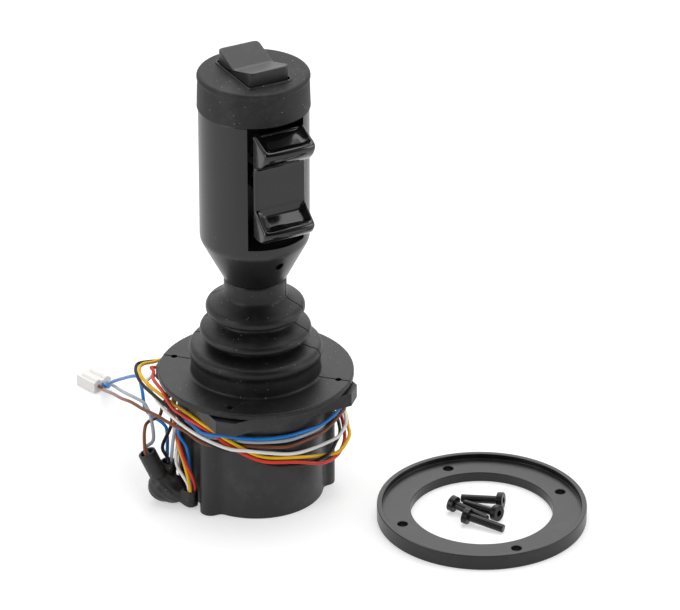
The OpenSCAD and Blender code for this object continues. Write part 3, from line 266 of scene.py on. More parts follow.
wire_size = 0.0015
wire_routes = {
    "wire_yellow": [
        (-0.0014, 0.0315, 0.0369), (-0.0014, 0.033, 0.0369), (0.0011, 0.0389, 0.0369),
        (0.0053, 0.0396, 0.0372), (0.016, 0.0305, 0.0395), (0.024, 0.0225, 0.038),
        (0.032, 0.0135, 0.0365), (0.0365, 0.003, 0.0355), (0.0375, -0.008, 0.0325),
        (0.034, -0.019, 0.029), (0.0315, -0.0245, 0.0275), (0.0245, -0.0285, 0.024),
        (0.0175, -0.028, 0.024), (0.0035, -0.03, 0.0275), (-0.012, -0.028, 0.031),
        (-0.022, -0.023, 0.037), (-0.031, -0.016, 0.044), (-0.034, -0.0045, 0.0455),
        (-0.035, 0.01, 0.0445), (-0.0375, 0.021, 0.046), (-0.0385, 0.0305, 0.0475),
        (-0.037, 0.0365, 0.0485), (-0.034, 0.039, 0.049), (-0.029, 0.0395, 0.0485),
        (-0.023, 0.0385, 0.049), (-0.018, 0.036, 0.047), (-0.018, 0.0335, 0.0455),
        (-0.023, 0.028, 0.045), (-0.028, 0.022, 0.0415), (-0.031, 0.017, 0.037),
        (-0.033, 0.012, 0.0325), (-0.034, 0.006, 0.025), (-0.034, 0.001, 0.019),
        (-0.034, -0.004, 0.0105), (-0.034, -0.004, 0.005)],
    "wire_red": [
        (0.0014, 0.0315, 0.0369), (0.0014, 0.033, 0.0369), (0.0019, 0.0361, 0.0369),
        (0.0066, 0.0393, 0.0354), (0.0175, 0.0325, 0.0365), (0.0255, 0.0235, 0.036),
        (0.0315, 0.015, 0.035), (0.0355, 0.0035, 0.033), (0.036, -0.0075, 0.0305),
        (0.032, -0.0195, 0.0265), (0.0285, -0.0245, 0.024), (0.0235, -0.028, 0.022),
        (0.015, -0.0315, 0.0225), (0.0025, -0.031, 0.026), (-0.012, -0.0285, 0.029),
        (-0.0225, -0.023, 0.035), (-0.0295, -0.017, 0.041), (-0.036, -0.005, 0.045),
        (-0.0375, 0.0045, 0.0455), (-0.036, 0.016, 0.047), (-0.0345, 0.028, 0.047),
        (-0.032, 0.033, 0.048), (-0.0315, 0.0355, 0.0485), (-0.0255, 0.0345, 0.0465),
        (-0.026, 0.0295, 0.0465), (-0.03, 0.024, 0.044), (-0.0335, 0.0175, 0.04),
        (-0.0335, 0.0105, 0.0345), (-0.034, 0.006, 0.028), (-0.0345, 0, 0.022),
        (-0.032, -0.004, 0.012), (-0.032, -0.004, 0.005)],
    "wire_black": [
        (0.0042, 0.0315, 0.0369), (0.0042, 0.033, 0.0369), (0.0062, 0.0353, 0.0364),
        (0.0089, 0.0365, 0.0364), (0.0155, 0.0305, 0.036), (0.023, 0.023, 0.035),
        (0.0315, 0.015, 0.033), (0.034, 0.004, 0.0315), (0.0335, -0.0085, 0.03),
        (0.0295, -0.02, 0.0285), (0.0245, -0.0255, 0.027), (0.0185, -0.03, 0.025),
        (0.0095, -0.0295, 0.023), (-0.002, -0.03, 0.0245), (-0.0115, -0.0275, 0.0275),
        (-0.0205, -0.0225, 0.033), (-0.0275, -0.02, 0.035), (-0.034, -0.0105, 0.0385),
        (-0.036, 0.004, 0.042), (-0.0385, 0.0165, 0.0445), (-0.0395, 0.0285, 0.0455),
        (-0.038, 0.0375, 0.0465), (-0.0355, 0.042, 0.0475), (-0.032, 0.043, 0.0475),
        (-0.023, 0.042, 0.0465), (-0.017, 0.0395, 0.046), (-0.0135, 0.0355, 0.044),
        (-0.0155, 0.033, 0.0425), (-0.022, 0.0285, 0.0405), (-0.027, 0.024, 0.038),
        (-0.0295, 0.021, 0.0355), (-0.0325, 0.016, 0.03), (-0.038, 0.0135, 0.0225),
        (-0.038, 0.009, 0.019), (-0.038, 0.009, 0.013)],
    "wire_white": [
        (-0.0042, 0.0315, 0.0391), (-0.0042, 0.033, 0.0391), (-0.0032, 0.0381, 0.0376),
        (0.0015, 0.0439, 0.0399), (0.0185, 0.0345, 0.0395), (0.027, 0.0255, 0.04),
        (0.0335, 0.016, 0.039), (0.037, 0.004, 0.038), (0.037, -0.0065, 0.0355),
        (0.033, -0.019, 0.032), (0.0285, -0.0235, 0.03), (0.0235, -0.026, 0.029),
        (0.01, -0.029, 0.029), (0.0005, -0.03, 0.03), (-0.0095, -0.03, 0.033),
        (-0.0185, -0.027, 0.035), (-0.0255, -0.023, 0.036), (-0.0335, -0.015, 0.0395),
        (-0.037, -0.004, 0.041), (-0.038, 0.0095, 0.0415), (-0.038, 0.02, 0.043),
        (-0.037, 0.028, 0.0445), (-0.036, 0.031, 0.0455), (-0.032, 0.0325, 0.046),
        (-0.0275, 0.0315, 0.0455), (-0.0235, 0.027, 0.0425), (-0.0255, 0.024, 0.041),
        (-0.028, 0.021, 0.0385), (-0.0305, 0.017, 0.035), (-0.033, 0.012, 0.029),
        (-0.033, 0.009, 0.0255), (-0.0355, 0.0055, 0.0175), (-0.034, -0.002, 0.0105),
        (-0.034, -0.002, 0.005)],
    "wire_blue": [
        (0.0014, 0.0315, 0.0391), (0.0014, 0.033, 0.0391), (0.0019, 0.0361, 0.0401),
        (0.0076, 0.0393, 0.0402), (0.0165, 0.032, 0.0415), (0.024, 0.022, 0.04),
        (0.0305, 0.0155, 0.0405), (0.0355, 0.0045, 0.0395), (0.032, -0.016, 0.04),
        (0.029, -0.02, 0.039), (0.023, -0.024, 0.0385), (0.017, -0.0265, 0.038),
        (0.0075, -0.029, 0.0385), (-0.002, -0.03, 0.039), (-0.012, -0.028, 0.0395),
        (-0.0205, -0.0235, 0.04), (-0.027, -0.022, 0.042), (-0.033, -0.015, 0.0415),
        (-0.0335, -0.001, 0.0415), (-0.034, 0.002, 0.041), (-0.0355, 0.003, 0.0335),
        (-0.0325, 0.0015, 0.0265), (-0.032, 0, 0.0185), (-0.032, -0.002, 0.0105),
        (-0.032, -0.002, 0.005)],
    "wire_grey": [
        (0.0042, 0.0315, 0.0391), (0.0042, 0.033, 0.0391), (0.0062, 0.0353, 0.0386),
        (0.0089, 0.0365, 0.0401), (0.0155, 0.029, 0.0425), (0.023, 0.022, 0.042),
        (0.0305, 0.016, 0.043), (0.0335, 0.0065, 0.0405), (0.032, -0.016, 0.036),
        (0.028, -0.0185, 0.036), (0.0225, -0.0225, 0.037), (0.0155, -0.026, 0.036),
        (0.0065, -0.029, 0.0365), (-0.002, -0.03, 0.037), (-0.0115, -0.0275, 0.0375),
        (-0.018, -0.0245, 0.038), (-0.022, -0.02, 0.038), (-0.032, -0.014, 0.0395),
        (-0.0325, -0.0035, 0.04), (-0.032, 0.0035, 0.038), (-0.0355, 0.006, 0.034),
        (-0.036, 0.009, 0.019), (-0.036, 0.009, 0.013)],
    "wire_brown": [
        (-0.0014, 0.0315, 0.0391), (-0.0014, 0.033, 0.0391), (-0.0014, 0.0369, 0.0396),
        (0.0043, 0.0416, 0.0384), (0.018, 0.033, 0.0385), (0.0255, 0.024, 0.04),
        (0.031, 0.016, 0.0385), (0.035, 0.002, 0.0375), (0.0335, -0.016, 0.038),
        (0.0305, -0.0195, 0.037), (0.026, -0.0225, 0.036), (0.019, -0.0255, 0.034),
        (0.008, -0.029, 0.034), (-0.0015, -0.03, 0.034), (-0.0115, -0.028, 0.0355),
        (-0.02, -0.022, 0.0355), (-0.027, -0.017, 0.0345), (-0.033, -0.0125, 0.036),
        (-0.0355, -0.004, 0.0375), (-0.0385, 0.0045, 0.038), (-0.041, 0.0135, 0.0385),
        (-0.0425, 0.022, 0.0375), (-0.043, 0.0325, 0.036), (-0.042, 0.044, 0.032),
        (-0.0385, 0.059, 0.026), (-0.034, 0.075, 0.0185), (-0.0285, 0.09, 0.0105),
        (-0.022, 0.1035, 0.003), (-0.0229, 0.1069, 0.003)],
    "plug_lead_blue": [
        (-0.0205, 0.1075, 0.003), (-0.0196, 0.1041, 0.003), (-0.022, 0.0958, 0.0097),
        (-0.025, 0.0833, 0.0178), (-0.0285, 0.069, 0.0265), (-0.031, 0.0565, 0.034),
        (-0.0315, 0.0495, 0.0375), (-0.032, 0.0465, 0.0375), (-0.034, 0.04, 0.035),
        (-0.036, 0.0335, 0.0305), (-0.0345, 0.0295, 0.0285), (-0.032, 0.024, 0.0265),
        (-0.0325, 0.02, 0.0245), (-0.037, 0.011, 0.019), (-0.037, 0.011, 0.013)],
    "plug_lead_grey": [
        (-0.0181, 0.1081, 0.003), (-0.0172, 0.1048, 0.003), (-0.0227, 0.0898, 0.0107),
        (-0.0287, 0.0736, 0.0186), (-0.0335, 0.057, 0.026), (-0.0365, 0.0435, 0.0315),
        (-0.0375, 0.033, 0.0345), (-0.038, 0.028, 0.0345), (-0.04, 0.02, 0.0335),
        (-0.0415, 0.015, 0.026), (-0.0464, 0.0128, 0.0244), (-0.045, 0.012, 0.0207)],
    "sleeve_lead_brown": [
        (-0.0042, 0.0315, 0.0369), (-0.0042, 0.033, 0.0369), (-0.0057, 0.0357, 0.0369),
        (-0.0094, 0.037, 0.0366), (-0.0175, 0.034, 0.0365), (-0.0255, 0.0305, 0.0355),
        (-0.0305, 0.0275, 0.0345), (-0.0335, 0.025, 0.0305), (-0.043, 0.019, 0.0315),
        (-0.0476, 0.0108, 0.0244), (-0.0462, 0.0099, 0.0208)],
}
wire_colours = {
    "yellow": ((0.82, 0.46, 0.002), (0.92, 0.55, 0.006)),
    "red": ((0.62, 0.040, 0.022), (0.76, 0.060, 0.034)),
    "black": ((0.010, 0.010, 0.011), (0.018, 0.018, 0.020)),
    "white": ((0.84, 0.83, 0.80), (0.92, 0.91, 0.89)),
    "blue": ((0.008, 0.17, 0.58), (0.016, 0.24, 0.70)),
    "grey": ((0.36, 0.42, 0.47), (0.44, 0.50, 0.55)),
    "brown": ((0.17, 0.055, 0.022), (0.24, 0.080, 0.034)),
}
wire_skins = {colour: finish("insulation_" + colour, *pair, rough=0.34, fine_scale=1800.0,
                             cloud_scale=120.0, bump=0.05, specular=0.3)
              for colour, pair in wire_colours.items()}
for node, route in wire_routes.items():
    wire_line = smooth_line(route, 8)
    wire_colour = node.rsplit("_", 1)[1]
    wire_piece = surface("insulated_" + node, round_tube(wire_line, wire_size / 2), cap=True)
    settle(wire_piece, wire_skins[wire_colour], "base", node)

# ---- Floor and lamps --------------------------------------------------------
# A white table top that fades into a white room, under one wide lamp overhead, two at the sides
# and one behind. None of the lamps is seen itself.

floor_half, floor_drop = 3.0, 0.0003
floor_grid = np.stack(np.meshgrid([-floor_half, floor_half], [-floor_half, floor_half],
                                  indexing="ij") + [np.full((2, 2), -floor_drop)], -1)
floor = surface("floor", floor_grid, wrap_v=False)
floor_paint = bpy.data.materials.new("floor_paint")
floor_paint.use_nodes = True
floor_tree = floor_paint.node_tree
floor_tree.nodes.remove(floor_tree.nodes["Principled BSDF"])
floor_grain = add(floor_tree, "TexNoise", Vector=add(floor_tree, "TexCoord").outputs["Object"],
                  Scale=40.0)
floor_colour = mixed(floor_tree, floor_grain.outputs[0], (0.66, 0.66, 0.66, 1.0),
                     (0.68, 0.68, 0.68, 1.0))
floor_dull = add(floor_tree, "BsdfDiffuse", Color=floor_colour)


def seen_directly(tree):
    """1 for rays from the camera and for mirrored and refracted ones, otherwise 0."""
    ray = add(tree, "LightPath").outputs
    either = maths(tree, "MAXIMUM", ray["Is Camera Ray"], ray["Is Glossy Ray"])
    return maths(tree, "MAXIMUM", either, ray["Is Transmission Ray"])


# The table top glows a little, and more and more from 0.8 m out, so that it fades into the room.
floor_reach = add(floor_tree, "VectorMath", {"operation": "LENGTH"},
                  _0=add(floor_tree, "TexCoord").outputs["Object"])
floor_fade = add(floor_tree, "MapRange", Value=floor_reach.outputs["Value"], From_Min=0.8,
                 From_Max=1.8, To_Min=0.46, To_Max=0.70)
floor_lift = maths(floor_tree, "MULTIPLY", seen_directly(floor_tree), floor_fade.outputs[0])
floor_glow = add(floor_tree, "Emission", Color=(1, 1, 1, 1), Strength=floor_lift)
floor_sum = add(floor_tree, "AddShader", _0=floor_dull.outputs[0], _1=floor_glow.outputs[0])
floor_tree.links.new(floor_sum.outputs[0], floor_tree.nodes["Material Output"].inputs["Surface"])
wear(floor, floor_paint)

room = bpy.data.worlds.new("room")
scene.world = room
room.use_nodes = True
room_tree = room.node_tree
room_light = room_tree.nodes["Background"]
# In mirrored rays the room is white behind the stick and falls off to dark at its front left.
room_side = add(room_tree, "VectorMath", {"operation": "DOT_PRODUCT"},
                _0=add(room_tree, "TexCoord").outputs["Object"], _1=(-0.42, -0.78, 0.46))
room_level = add(room_tree, "MapRange", Value=room_side.outputs["Value"], From_Min=0.15,
                 From_Max=0.75, To_Min=1.0, To_Max=0.05)
room_ray = add(room_tree, "LightPath").outputs
room_shine = add(room_tree, "Mix", {"data_type": "FLOAT"}, _0=room_ray["Is Glossy Ray"], _2=0.5,
                 _3=room_level.outputs[0])
room_seen = maths(room_tree, "MAXIMUM", room_ray["Is Camera Ray"],
                  room_ray["Is Transmission Ray"])
room_shown = add(room_tree, "Mix", {"data_type": "FLOAT"}, _0=room_seen,
                 _2=room_shine.outputs[0], _3=1.0)
room_tree.links.new(room_shown.outputs[0], room_light.inputs["Strength"])
room_light.inputs["Color"].default_value = (1, 1, 1, 1)

lamp_aim = Vector((0, 0, 0.09))
for lamp_name, lamp_place, lamp_size, lamp_power in (
        ("lamp_over", (0.15, 0.10, 1.15), (1.0, 0.8), 6.0),
        ("lamp_left", (-1.15, -0.10, 0.45), (0.5, 0.9), 4.5),
        ("lamp_right", (0.95, -0.80, 0.55), (0.45, 0.9), 4.0),
        ("lamp_back", (0.62, 1.10, 0.80), (1.4, 0.6), 4.2)):
    lamp = bpy.data.lights.new(lamp_name, "AREA")
    lamp.shape = "RECTANGLE"
    lamp.size, lamp.size_y = lamp_size
    lamp.energy = lamp_power
    lamp_stand = bpy.data.objects.new(lamp_name, lamp)
    lamp_stand.location = lamp_place
    lamp_stand.rotation_mode = "QUATERNION"
    lamp_stand.rotation_quaternion = (lamp_aim - Vector(lamp_place)).to_track_quat("-Z", "Y")
    lamp_stand.visible_camera = False
    scene.collection.objects.link(lamp_stand)

# ---- Housing, mounting plate and their screws -------------------------------
# The round housing with its four screw lobes and the square plate with cut corners are moulded in
# dark glass-filled nylon. The plate is held by four screws down the lobes, under the boot.


def rows_of(items, what):
    """One vector property of all the items, a row each."""
    values = np.empty(len(items) * 3)
    items.foreach_get(what, values)
    return values.reshape(-1, 3)


def eased(node, width, skin):
    """A copy of a node of the base with its doubled points merged, its flat faces joined and its
    edges sharper than 30 degrees rounded to the given width. It stands for the node."""
    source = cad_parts[node].data
    spots = rows_of(source.vertices, "co")
    _, first, joined = np.unique(np.round(spots, 7), axis=0, return_index=True,
                                 return_inverse=True)
    corners = np.empty(len(source.loops), int)
    source.loops.foreach_get("vertex_index", corners)
    faces = joined.ravel()[corners].reshape(-1, 3)
    faces = faces[(faces[:, 0] != faces[:, 1]) & (faces[:, 1] != faces[:, 2])
                  & (faces[:, 2] != faces[:, 0])]
    piece = new_piece("eased_" + node, spots[first], faces.tolist())
    flat = piece.modifiers.new("flat", "DECIMATE")
    flat.decimate_type = "DISSOLVE"
    flat.angle_limit = math.radians(0.4)
    bevel = piece.modifiers.new("eased", "BEVEL")
    bevel.width = width
    bevel.segments = 2
    bevel.limit_method = "ANGLE"
    bevel.angle_limit = math.radians(30.0)
    bevel.harden_normals = True
    wear(piece, skin)
    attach(piece, "base")
    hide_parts(node)
    return piece


housing_plastic = finish("housing_plastic", (0.0068, 0.0065, 0.0066), (0.0104, 0.0099, 0.0103),
                         rough=0.42, fine_scale=3200.0, cloud_scale=45.0, bump=0.18, smears=0.05)
plate_plastic = finish("plate_plastic", (0.008, 0.0076, 0.0077), (0.012, 0.0114, 0.0118),
                       rough=0.46, fine_scale=3200.0, cloud_scale=60.0, bump=0.2, smears=0.06)
screw_black = finish("screw_black", (0.0048, 0.0046, 0.0052), (0.0088, 0.0084, 0.0088), rough=0.30,
                     fine_scale=4000.0, bump=0.12, metallic=0.35)
eased("base_housing", 0.0004, housing_plastic)
eased("mounting_plate", 0.0005, plate_plastic)
dress("plate_screws", screw_black)

# ---- Rubber boot ------------------------------------------------------------
# One moulded bellows of black rubber with a parting line: a flange with four holes, a wall, three
# convolutions and a collar that grips the stick's neck. It is made in two shells that meet in the
# lowest valley.


def revolve(profile, around=192):
    """The grid of a profile of radius and height carried once round the Z axis: point j of ring i
    is at (r cos a, r sin a, z), a being j's share of a full turn."""
    r, z = np.asarray(profile, float).T
    a = np.linspace(0, 2 * np.pi, around, endpoint=False)
    return np.stack([r[:, None] * np.cos(a), r[:, None] * np.sin(a),
                     np.repeat(z[:, None], around, 1)], -1)


def rounded(points, radius, steps=5, closed=False):
    """An outline with each corner b between a and c turned into an arc: (1-t)2 p + 2t(1-t) b +
    t2 q, where p and q lie on the two sides at the radius from b, or halfway on a short side."""
    p = np.asarray(points, float)
    before, after = np.roll(p, 1, 0) - p, np.roll(p, -1, 0) - p
    reach = np.broadcast_to(np.asarray(radius, float), (len(p),))[:, None]
    start, end = (p + v * np.minimum(reach / np.linalg.norm(v, axis=1)[:, None], 0.49)
                  for v in (before, after))
    t = np.linspace(0, 1, steps)[None, :, None]
    arcs = (1 - t) ** 2 * start[:, None] + 2 * t * (1 - t) * p[:, None] + t ** 2 * end[:, None]
    if closed:
        return arcs.reshape(-1, p.shape[1])
    return np.vstack([p[:1], arcs[1:-1].reshape(-1, p.shape[1]), p[-1:]])


def set_in(piece):
    """Puts what its modifiers make of a piece in place of its mesh, and drops them."""
    bpy.context.view_layer.update()
    result = bpy.data.meshes.new_from_object(
        piece.evaluated_get(bpy.context.evaluated_depsgraph_get()))
    piece.modifiers.clear()
    old = piece.data
    piece.data = result
    bpy.data.meshes.remove(old)


def carve(piece, tool_grids):
    """Cuts closed tools, given as capped grids, out of a piece."""
    for grid in tool_grids:
        tool = surface("tool", grid, cap=True)
        cut = piece.modifiers.new("cut", "BOOLEAN")
        cut.object = tool
        cut.solver = "EXACT"
        set_in(piece)
        bpy.data.objects.remove(tool)
    shade(piece.data, 35.0)


mm = 0.001
boot_low = 0.0545
boot_lower_outline = np.array([
    (41.45, 0.3), (41.45, 2.1), (41.1, 2.45), (40.6, 2.5), (28.2, 2.5), (27.5, 2.9), (27.4, 4.2),
    (27.4, 9.4), (27.7, 10.6), (28.15, 11.6), (28.3, 12.9), (28.1, 14.2), (27.4, 15.2),
    (26.2, 15.8), (24.0, 16.2), (20.6, 16.9), (19.0, 17.3), (18.6, 17.9), (18.6, 18.25)])
boot_upper_outline = np.array([
    (18.6, 18.25), (18.6, 18.6), (19.0, 19.1), (20.6, 19.3), (22.4, 19.8), (23.3, 20.7),
    (23.6, 21.7), (23.45, 22.9), (22.9, 23.8), (21.7, 24.4), (19.8, 25.3), (17.6, 26.4),
    (16.3, 27.2), (16.0, 27.9), (16.1, 28.6), (17.2, 29.2), (19.4, 29.9), (20.6, 30.9),
    (21.0, 32.3), (20.8, 33.8), (20.0, 34.9), (18.8, 35.5), (16.6, 36.5), (14.4, 37.8),
    (13.4, 38.6), (13.2, 39.6), (13.2, 45.6), (13.0, 46.3), (12.5, 46.8)])
boot_lower_lining = np.array([
    (17.0, 18.25), (17.0, 16.6), (24.5, 14.4), (26.5, 13.4), (26.5, 12.6), (25.8, 10.8),
    (25.8, 0.9), (25.8, 0.0), (41.2, 0.0)])
boot_upper_lining = np.array([
    (11.5, 46.8), (11.5, 37.6), (17.6, 33.6), (19.3, 32.6), (18.2, 31.4), (14.4, 29.6),
    (14.4, 26.5), (19.8, 22.7), (21.9, 21.6), (20.9, 20.8), (17.0, 20.0), (17.0, 18.25)])


def bellows(outer, lining, name):
    """The closed shell between a boot's outer profile, its corners eased, and its lining."""
    skin = rounded(outer, 0.8, 4)
    loop = np.vstack([skin, lining]) * mm + [0.0, boot_low]
    return surface(name, revolve(loop), wrap_u=True, sharp=48.0)


boot_rubber = finish("boot_rubber", (0.0048, 0.0046, 0.0046), (0.008, 0.0076, 0.0077), rough=0.43,
                     rough_swing=0.07, fine_scale=2600.0, cloud_scale=70.0, bump=0.25, specks=0.3,
                     smears=0.04, share=0.12, specular=0.34)
boot_tree = boot_rubber.node_tree
boot_skin = boot_tree.nodes["Principled BSDF"]
# The parting line is where x + y = 0: a line 0.7 mm wide, darker than the rubber and sunk in it.
boot_across = add(boot_tree, "VectorMath", {"operation": "DOT_PRODUCT"},
                  _0=add(boot_tree, "TexCoord").outputs["Object"], _1=(0.7071, 0.7071, 0.0))
boot_off = maths(boot_tree, "ABSOLUTE", boot_across.outputs["Value"])
boot_seam = add(boot_tree, "MapRange", Value=boot_off, From_Min=0.00024,
                From_Max=0.00044, To_Min=1.0, To_Max=0.0)
boot_gloss = boot_skin.inputs["Roughness"].links[0].from_socket
boot_dull = maths(boot_tree, "MAXIMUM", boot_gloss, boot_seam.outputs[0])
boot_tree.links.new(boot_dull, boot_skin.inputs["Roughness"])
boot_plain = boot_skin.inputs["Base Color"].links[0].from_socket
boot_dark = mixed(boot_tree, boot_seam.outputs[0], boot_plain, (0.0, 0.0, 0.0, 1.0))
boot_tree.links.new(boot_dark, boot_skin.inputs["Base Color"])
boot_relief = boot_skin.inputs["Normal"].links[0].from_node
boot_groove = add(boot_tree, "Bump", {"invert": True}, Strength=1.0, Distance=0.0005,
                  Height=boot_seam.outputs[0], Normal=boot_relief.outputs[0])
boot_tree.links.new(boot_groove.outputs[0], boot_skin.inputs["Normal"])

boot_lower = bellows(boot_lower_outline, boot_lower_lining, "boot_lower")
hole_circle, hole_radius = 0.0726, 0.0014
hole_place = hole_circle / 2 / math.sqrt(2)
hole_turn = np.linspace(0, 2 * np.pi, 32, endpoint=False)
hole_ring = np.stack([hole_radius * np.cos(hole_turn), hole_radius * np.sin(hole_turn),
                      0 * hole_turn], -1)
carve(boot_lower, [np.stack([hole_ring + [x, y, z] for z in (0.054, 0.058)])
                   for x in (-hole_place, hole_place) for y in (-hole_place, hole_place)])
boot_upper = bellows(boot_upper_outline, boot_upper_lining, "boot_upper")
for boot_piece in (boot_lower, boot_upper):
    wear(boot_piece, boot_rubber)
    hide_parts("boot")
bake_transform(boot_lower)
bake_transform(boot_upper)

# ---- Hand grip --------------------------------------------------------------
# A turned aluminium tube with a long cone at its foot, coated satin black. A window is cut in its
# front for the finger paddle, and a set screw in the cone locks it to the stick.

grip_coat = finish("grip_coat", (0.0052, 0.0049, 0.0052), (0.0072, 0.0068, 0.007), rough=0.30,
                   rough_swing=0.05, fine_scale=5000.0, cloud_scale=40.0, bump=0.08, specks=0.25,
                   share=0.012)
grip_outline = np.array([
    (11.2, 93.0), (11.2, 101.6), (13.2, 101.6), (13.55, 102.0), (22.6, 119.4), (23.0, 121.0),
    (23.0, 179.6), (22.8, 180.0), (21.55, 180.0), (21.55, 193.1), (1.0, 193.1), (1.0, 191.1),
    (19.55, 191.1), (19.55, 181.0), (20.6, 180.0), (20.6, 121.2), (9.0, 117.2), (5.0, 117.2),
    (5.0, 93.0)]) * mm
grip_ease = np.array([0.1, 0.2, 0.25, 0.25, 1.6, 1.0, 0.2] + [0.1] * 12) * mm
grip_piece = surface("grip_tube", revolve(rounded(grip_outline, grip_ease, 5, closed=True), 256),
                     wrap_u=True)


def block(low, high):
    """The capped grid of a box between two corners, as a cutting tool."""
    (a, b, c), (d, e, f) = low, high
    return np.array([[(a, b, z), (d, b, z), (d, e, z), (a, e, z)] for z in (c, f)])


# The set screw's hole is turned by 4 degrees from the front, 113.6 mm up.
set_turn, set_high, set_radius = math.radians(4), 0.1136, 0.00172
set_line = np.array([[math.sin(set_turn) * r, -math.cos(set_turn) * r, set_high]
                     for r in np.linspace(0.004, 0.024, 6)])
carve(grip_piece, [block((-0.013, -0.030, 0.124), (0.013, -0.008, 0.1799)),
                   round_tube(set_line, set_radius, 24),
                   block((-0.0103, -0.0159, 0.185), (0.0103, 0.0159, 0.196))])
settle(grip_piece, grip_coat, "handle", "grip_shell")

# ---- Rubber cap -------------------------------------------------------------
# A moulded cap of matte black rubber over the end of the tube, dusty from handling, with a rounded
# lip round its top and a fine bead under the lip. The top switch stands in its opening.



def rounded_rectangle(half_x, half_y, radius, steps=7):
    """A rectangle's outline with arcs of the radius at its corners."""
    turn = np.linspace(0, np.pi / 2, steps)
    return np.concatenate([
        np.column_stack([sx * (half_x - radius) + radius * np.cos(turn + start),
                         sy * (half_y - radius) + radius * np.sin(turn + start)])
        for sx, sy, start in ((1, 1, 0), (-1, 1, np.pi / 2), (-1, -1, np.pi),
                              (1, -1, -np.pi / 2))])


cap_low, cap_high = 0.180, 0.1951
cap_outline = np.array([
    (21.56, 0.0), (23.35, 0.0), (23.55, 0.2), (23.50, 1.0), (23.25, 9.6), (23.05, 12.3),
    (23.10, 12.6), (23.40, 12.9), (23.50, 13.4), (23.40, 14.2), (22.95, 14.85), (22.2, 15.1),
    (12.0, 15.1), (1.0, 15.1), (1.0, 13.12), (21.0, 13.12), (21.56, 12.9)]) * mm + [0, cap_low]
cap_rubber = finish("cap_rubber", (0.0068, 0.0061, 0.0059), (0.01, 0.0091, 0.0088), rough=0.62,
                    rough_swing=0.08, fine_scale=2200.0, cloud_scale=110.0, bump=0.35, specks=0.36,
                    smears=0.06, share=0.16, specular=0.4)
cap_piece = surface("rubber_cap_skin", revolve(rounded(cap_outline, 0.00025, 4, closed=True)),
                    wrap_u=True, sharp=48.0)
switch_way = rounded_rectangle(0.01024, 0.01584, 0.0022)
carve(cap_piece, [np.stack([np.column_stack([switch_way, np.full(len(switch_way), z)])
                            for z in (0.190, 0.197)])])
settle(cap_piece, cap_rubber, "handle", "rubber_cap")

# ---- Top rocker and its switch ----------------------------------------------
# A V-shaped rocker moulded in satin black nylon, which tips fore and aft on a steel pin in the
# switch's body. The body's rim stands up round it as a low plinth.


def rounded_bar(outline, half, ease, corner=0.0, middle=18):
    """A closed outline in Y and Z carried along X, from -half to half, with rounded ends: at the
    distance t into the last ease of its length, the outline is moved inwards along its normals by
    ease - sqrt(ease2 - t2). Over the last corner of its length its Y is drawn in as well, by
    corner - sqrt(corner2 - t2) at the outline's ends, which rounds its corners from above."""
    side = np.roll(outline, -1, 0) - np.roll(outline, 1, 0)
    normal = np.stack([side[:, 1], -side[:, 0]], -1) / np.linalg.norm(side, axis=1)[:, None]
    x, y = outline.T
    if np.sum(x * np.roll(y, -1) - y * np.roll(x, -1)) < 0:
        normal = -normal
    wide = max(ease, corner)
    ends = half - wide + wide * np.sin(np.linspace(0, np.pi / 2, 12))
    straight = np.linspace(-half + wide, half - wide, middle)[1:-1]
    along = np.concatenate([-ends[::-1], straight, ends])

    def inset(reach):
        t = np.maximum(np.abs(along) - (half - reach), 0)
        return reach - np.sqrt(np.maximum(reach ** 2 - t ** 2, 0))

    grid = outline[None] - inset(ease)[:, None, None] * normal[None]
    if corner:
        grid[..., 0] *= 1 - inset(corner)[:, None] / np.abs(outline[:, 0]).max()
    return np.concatenate([np.broadcast_to(along[:, None, None], (*grid.shape[:2], 1)), grid],
                          -1)


rocker_corners = np.array([
    (-14.5, -1.6), (-14.5, 6.5), (-13.3, 6.45), (-0.6, 2.75), (0.6, 2.75), (13.3, 6.45),
    (14.5, 6.5), (14.5, -1.6), (2.5, -3.5), (-2.5, -3.5)]) * mm + [0, cap_high]
rocker_ease = np.array([0.4, 0.8, 0.9, 0.9, 0.9, 0.9, 0.8, 0.4, 0.3, 0.3]) * mm
rocker_outline = rounded(rocker_corners, rocker_ease, 6, closed=True)
rocker_nylon = finish("rocker_nylon", (0.008, 0.0076, 0.0077), (0.012, 0.0114, 0.0114), rough=0.40,
                      rough_swing=0.08, fine_scale=2400.0, cloud_scale=90.0, bump=0.3, specks=0.3,
                      smears=0.04, share=0.04)
rocker_piece = surface(
    "rocker_skin", rounded_bar(rocker_outline, half=0.0093, ease=0.0006, corner=0.0024), cap=True)
settle(rocker_piece, rocker_nylon, "top_rocker", "top_rocker")

# The switch's body, level by level: half sizes in X and Y, corner radius, and height on the cap.
switch_levels = [(0.0102, 0.0158, 0.0022, -0.016), (0.0102, 0.0158, 0.0022, 0.0005),
                 (0.0100, 0.0156, 0.0020, 0.0008), (0.0097, 0.0153, 0.0018, 0.0008),
                 (0.0096, 0.0152, 0.0018, 0.0006), (0.0096, 0.0152, 0.0018, -0.0054)]
switch_piece = surface("switch_body", np.stack([
    np.column_stack([rounded_rectangle(hx, hy, r), np.full(len(switch_way), cap_high + z)])
    for hx, hy, r, z in switch_levels]), cap=True)
settle(switch_piece, rocker_nylon, "handle", "top_switch_body")

# ---- Finger paddle ----------------------------------------------------------
# A two-way paddle moulded in gloss black plastic, which swings on a steel pin inside the grip. Its
# flat panel fills the window; above and below it a finger dish with a raised rim stands out.

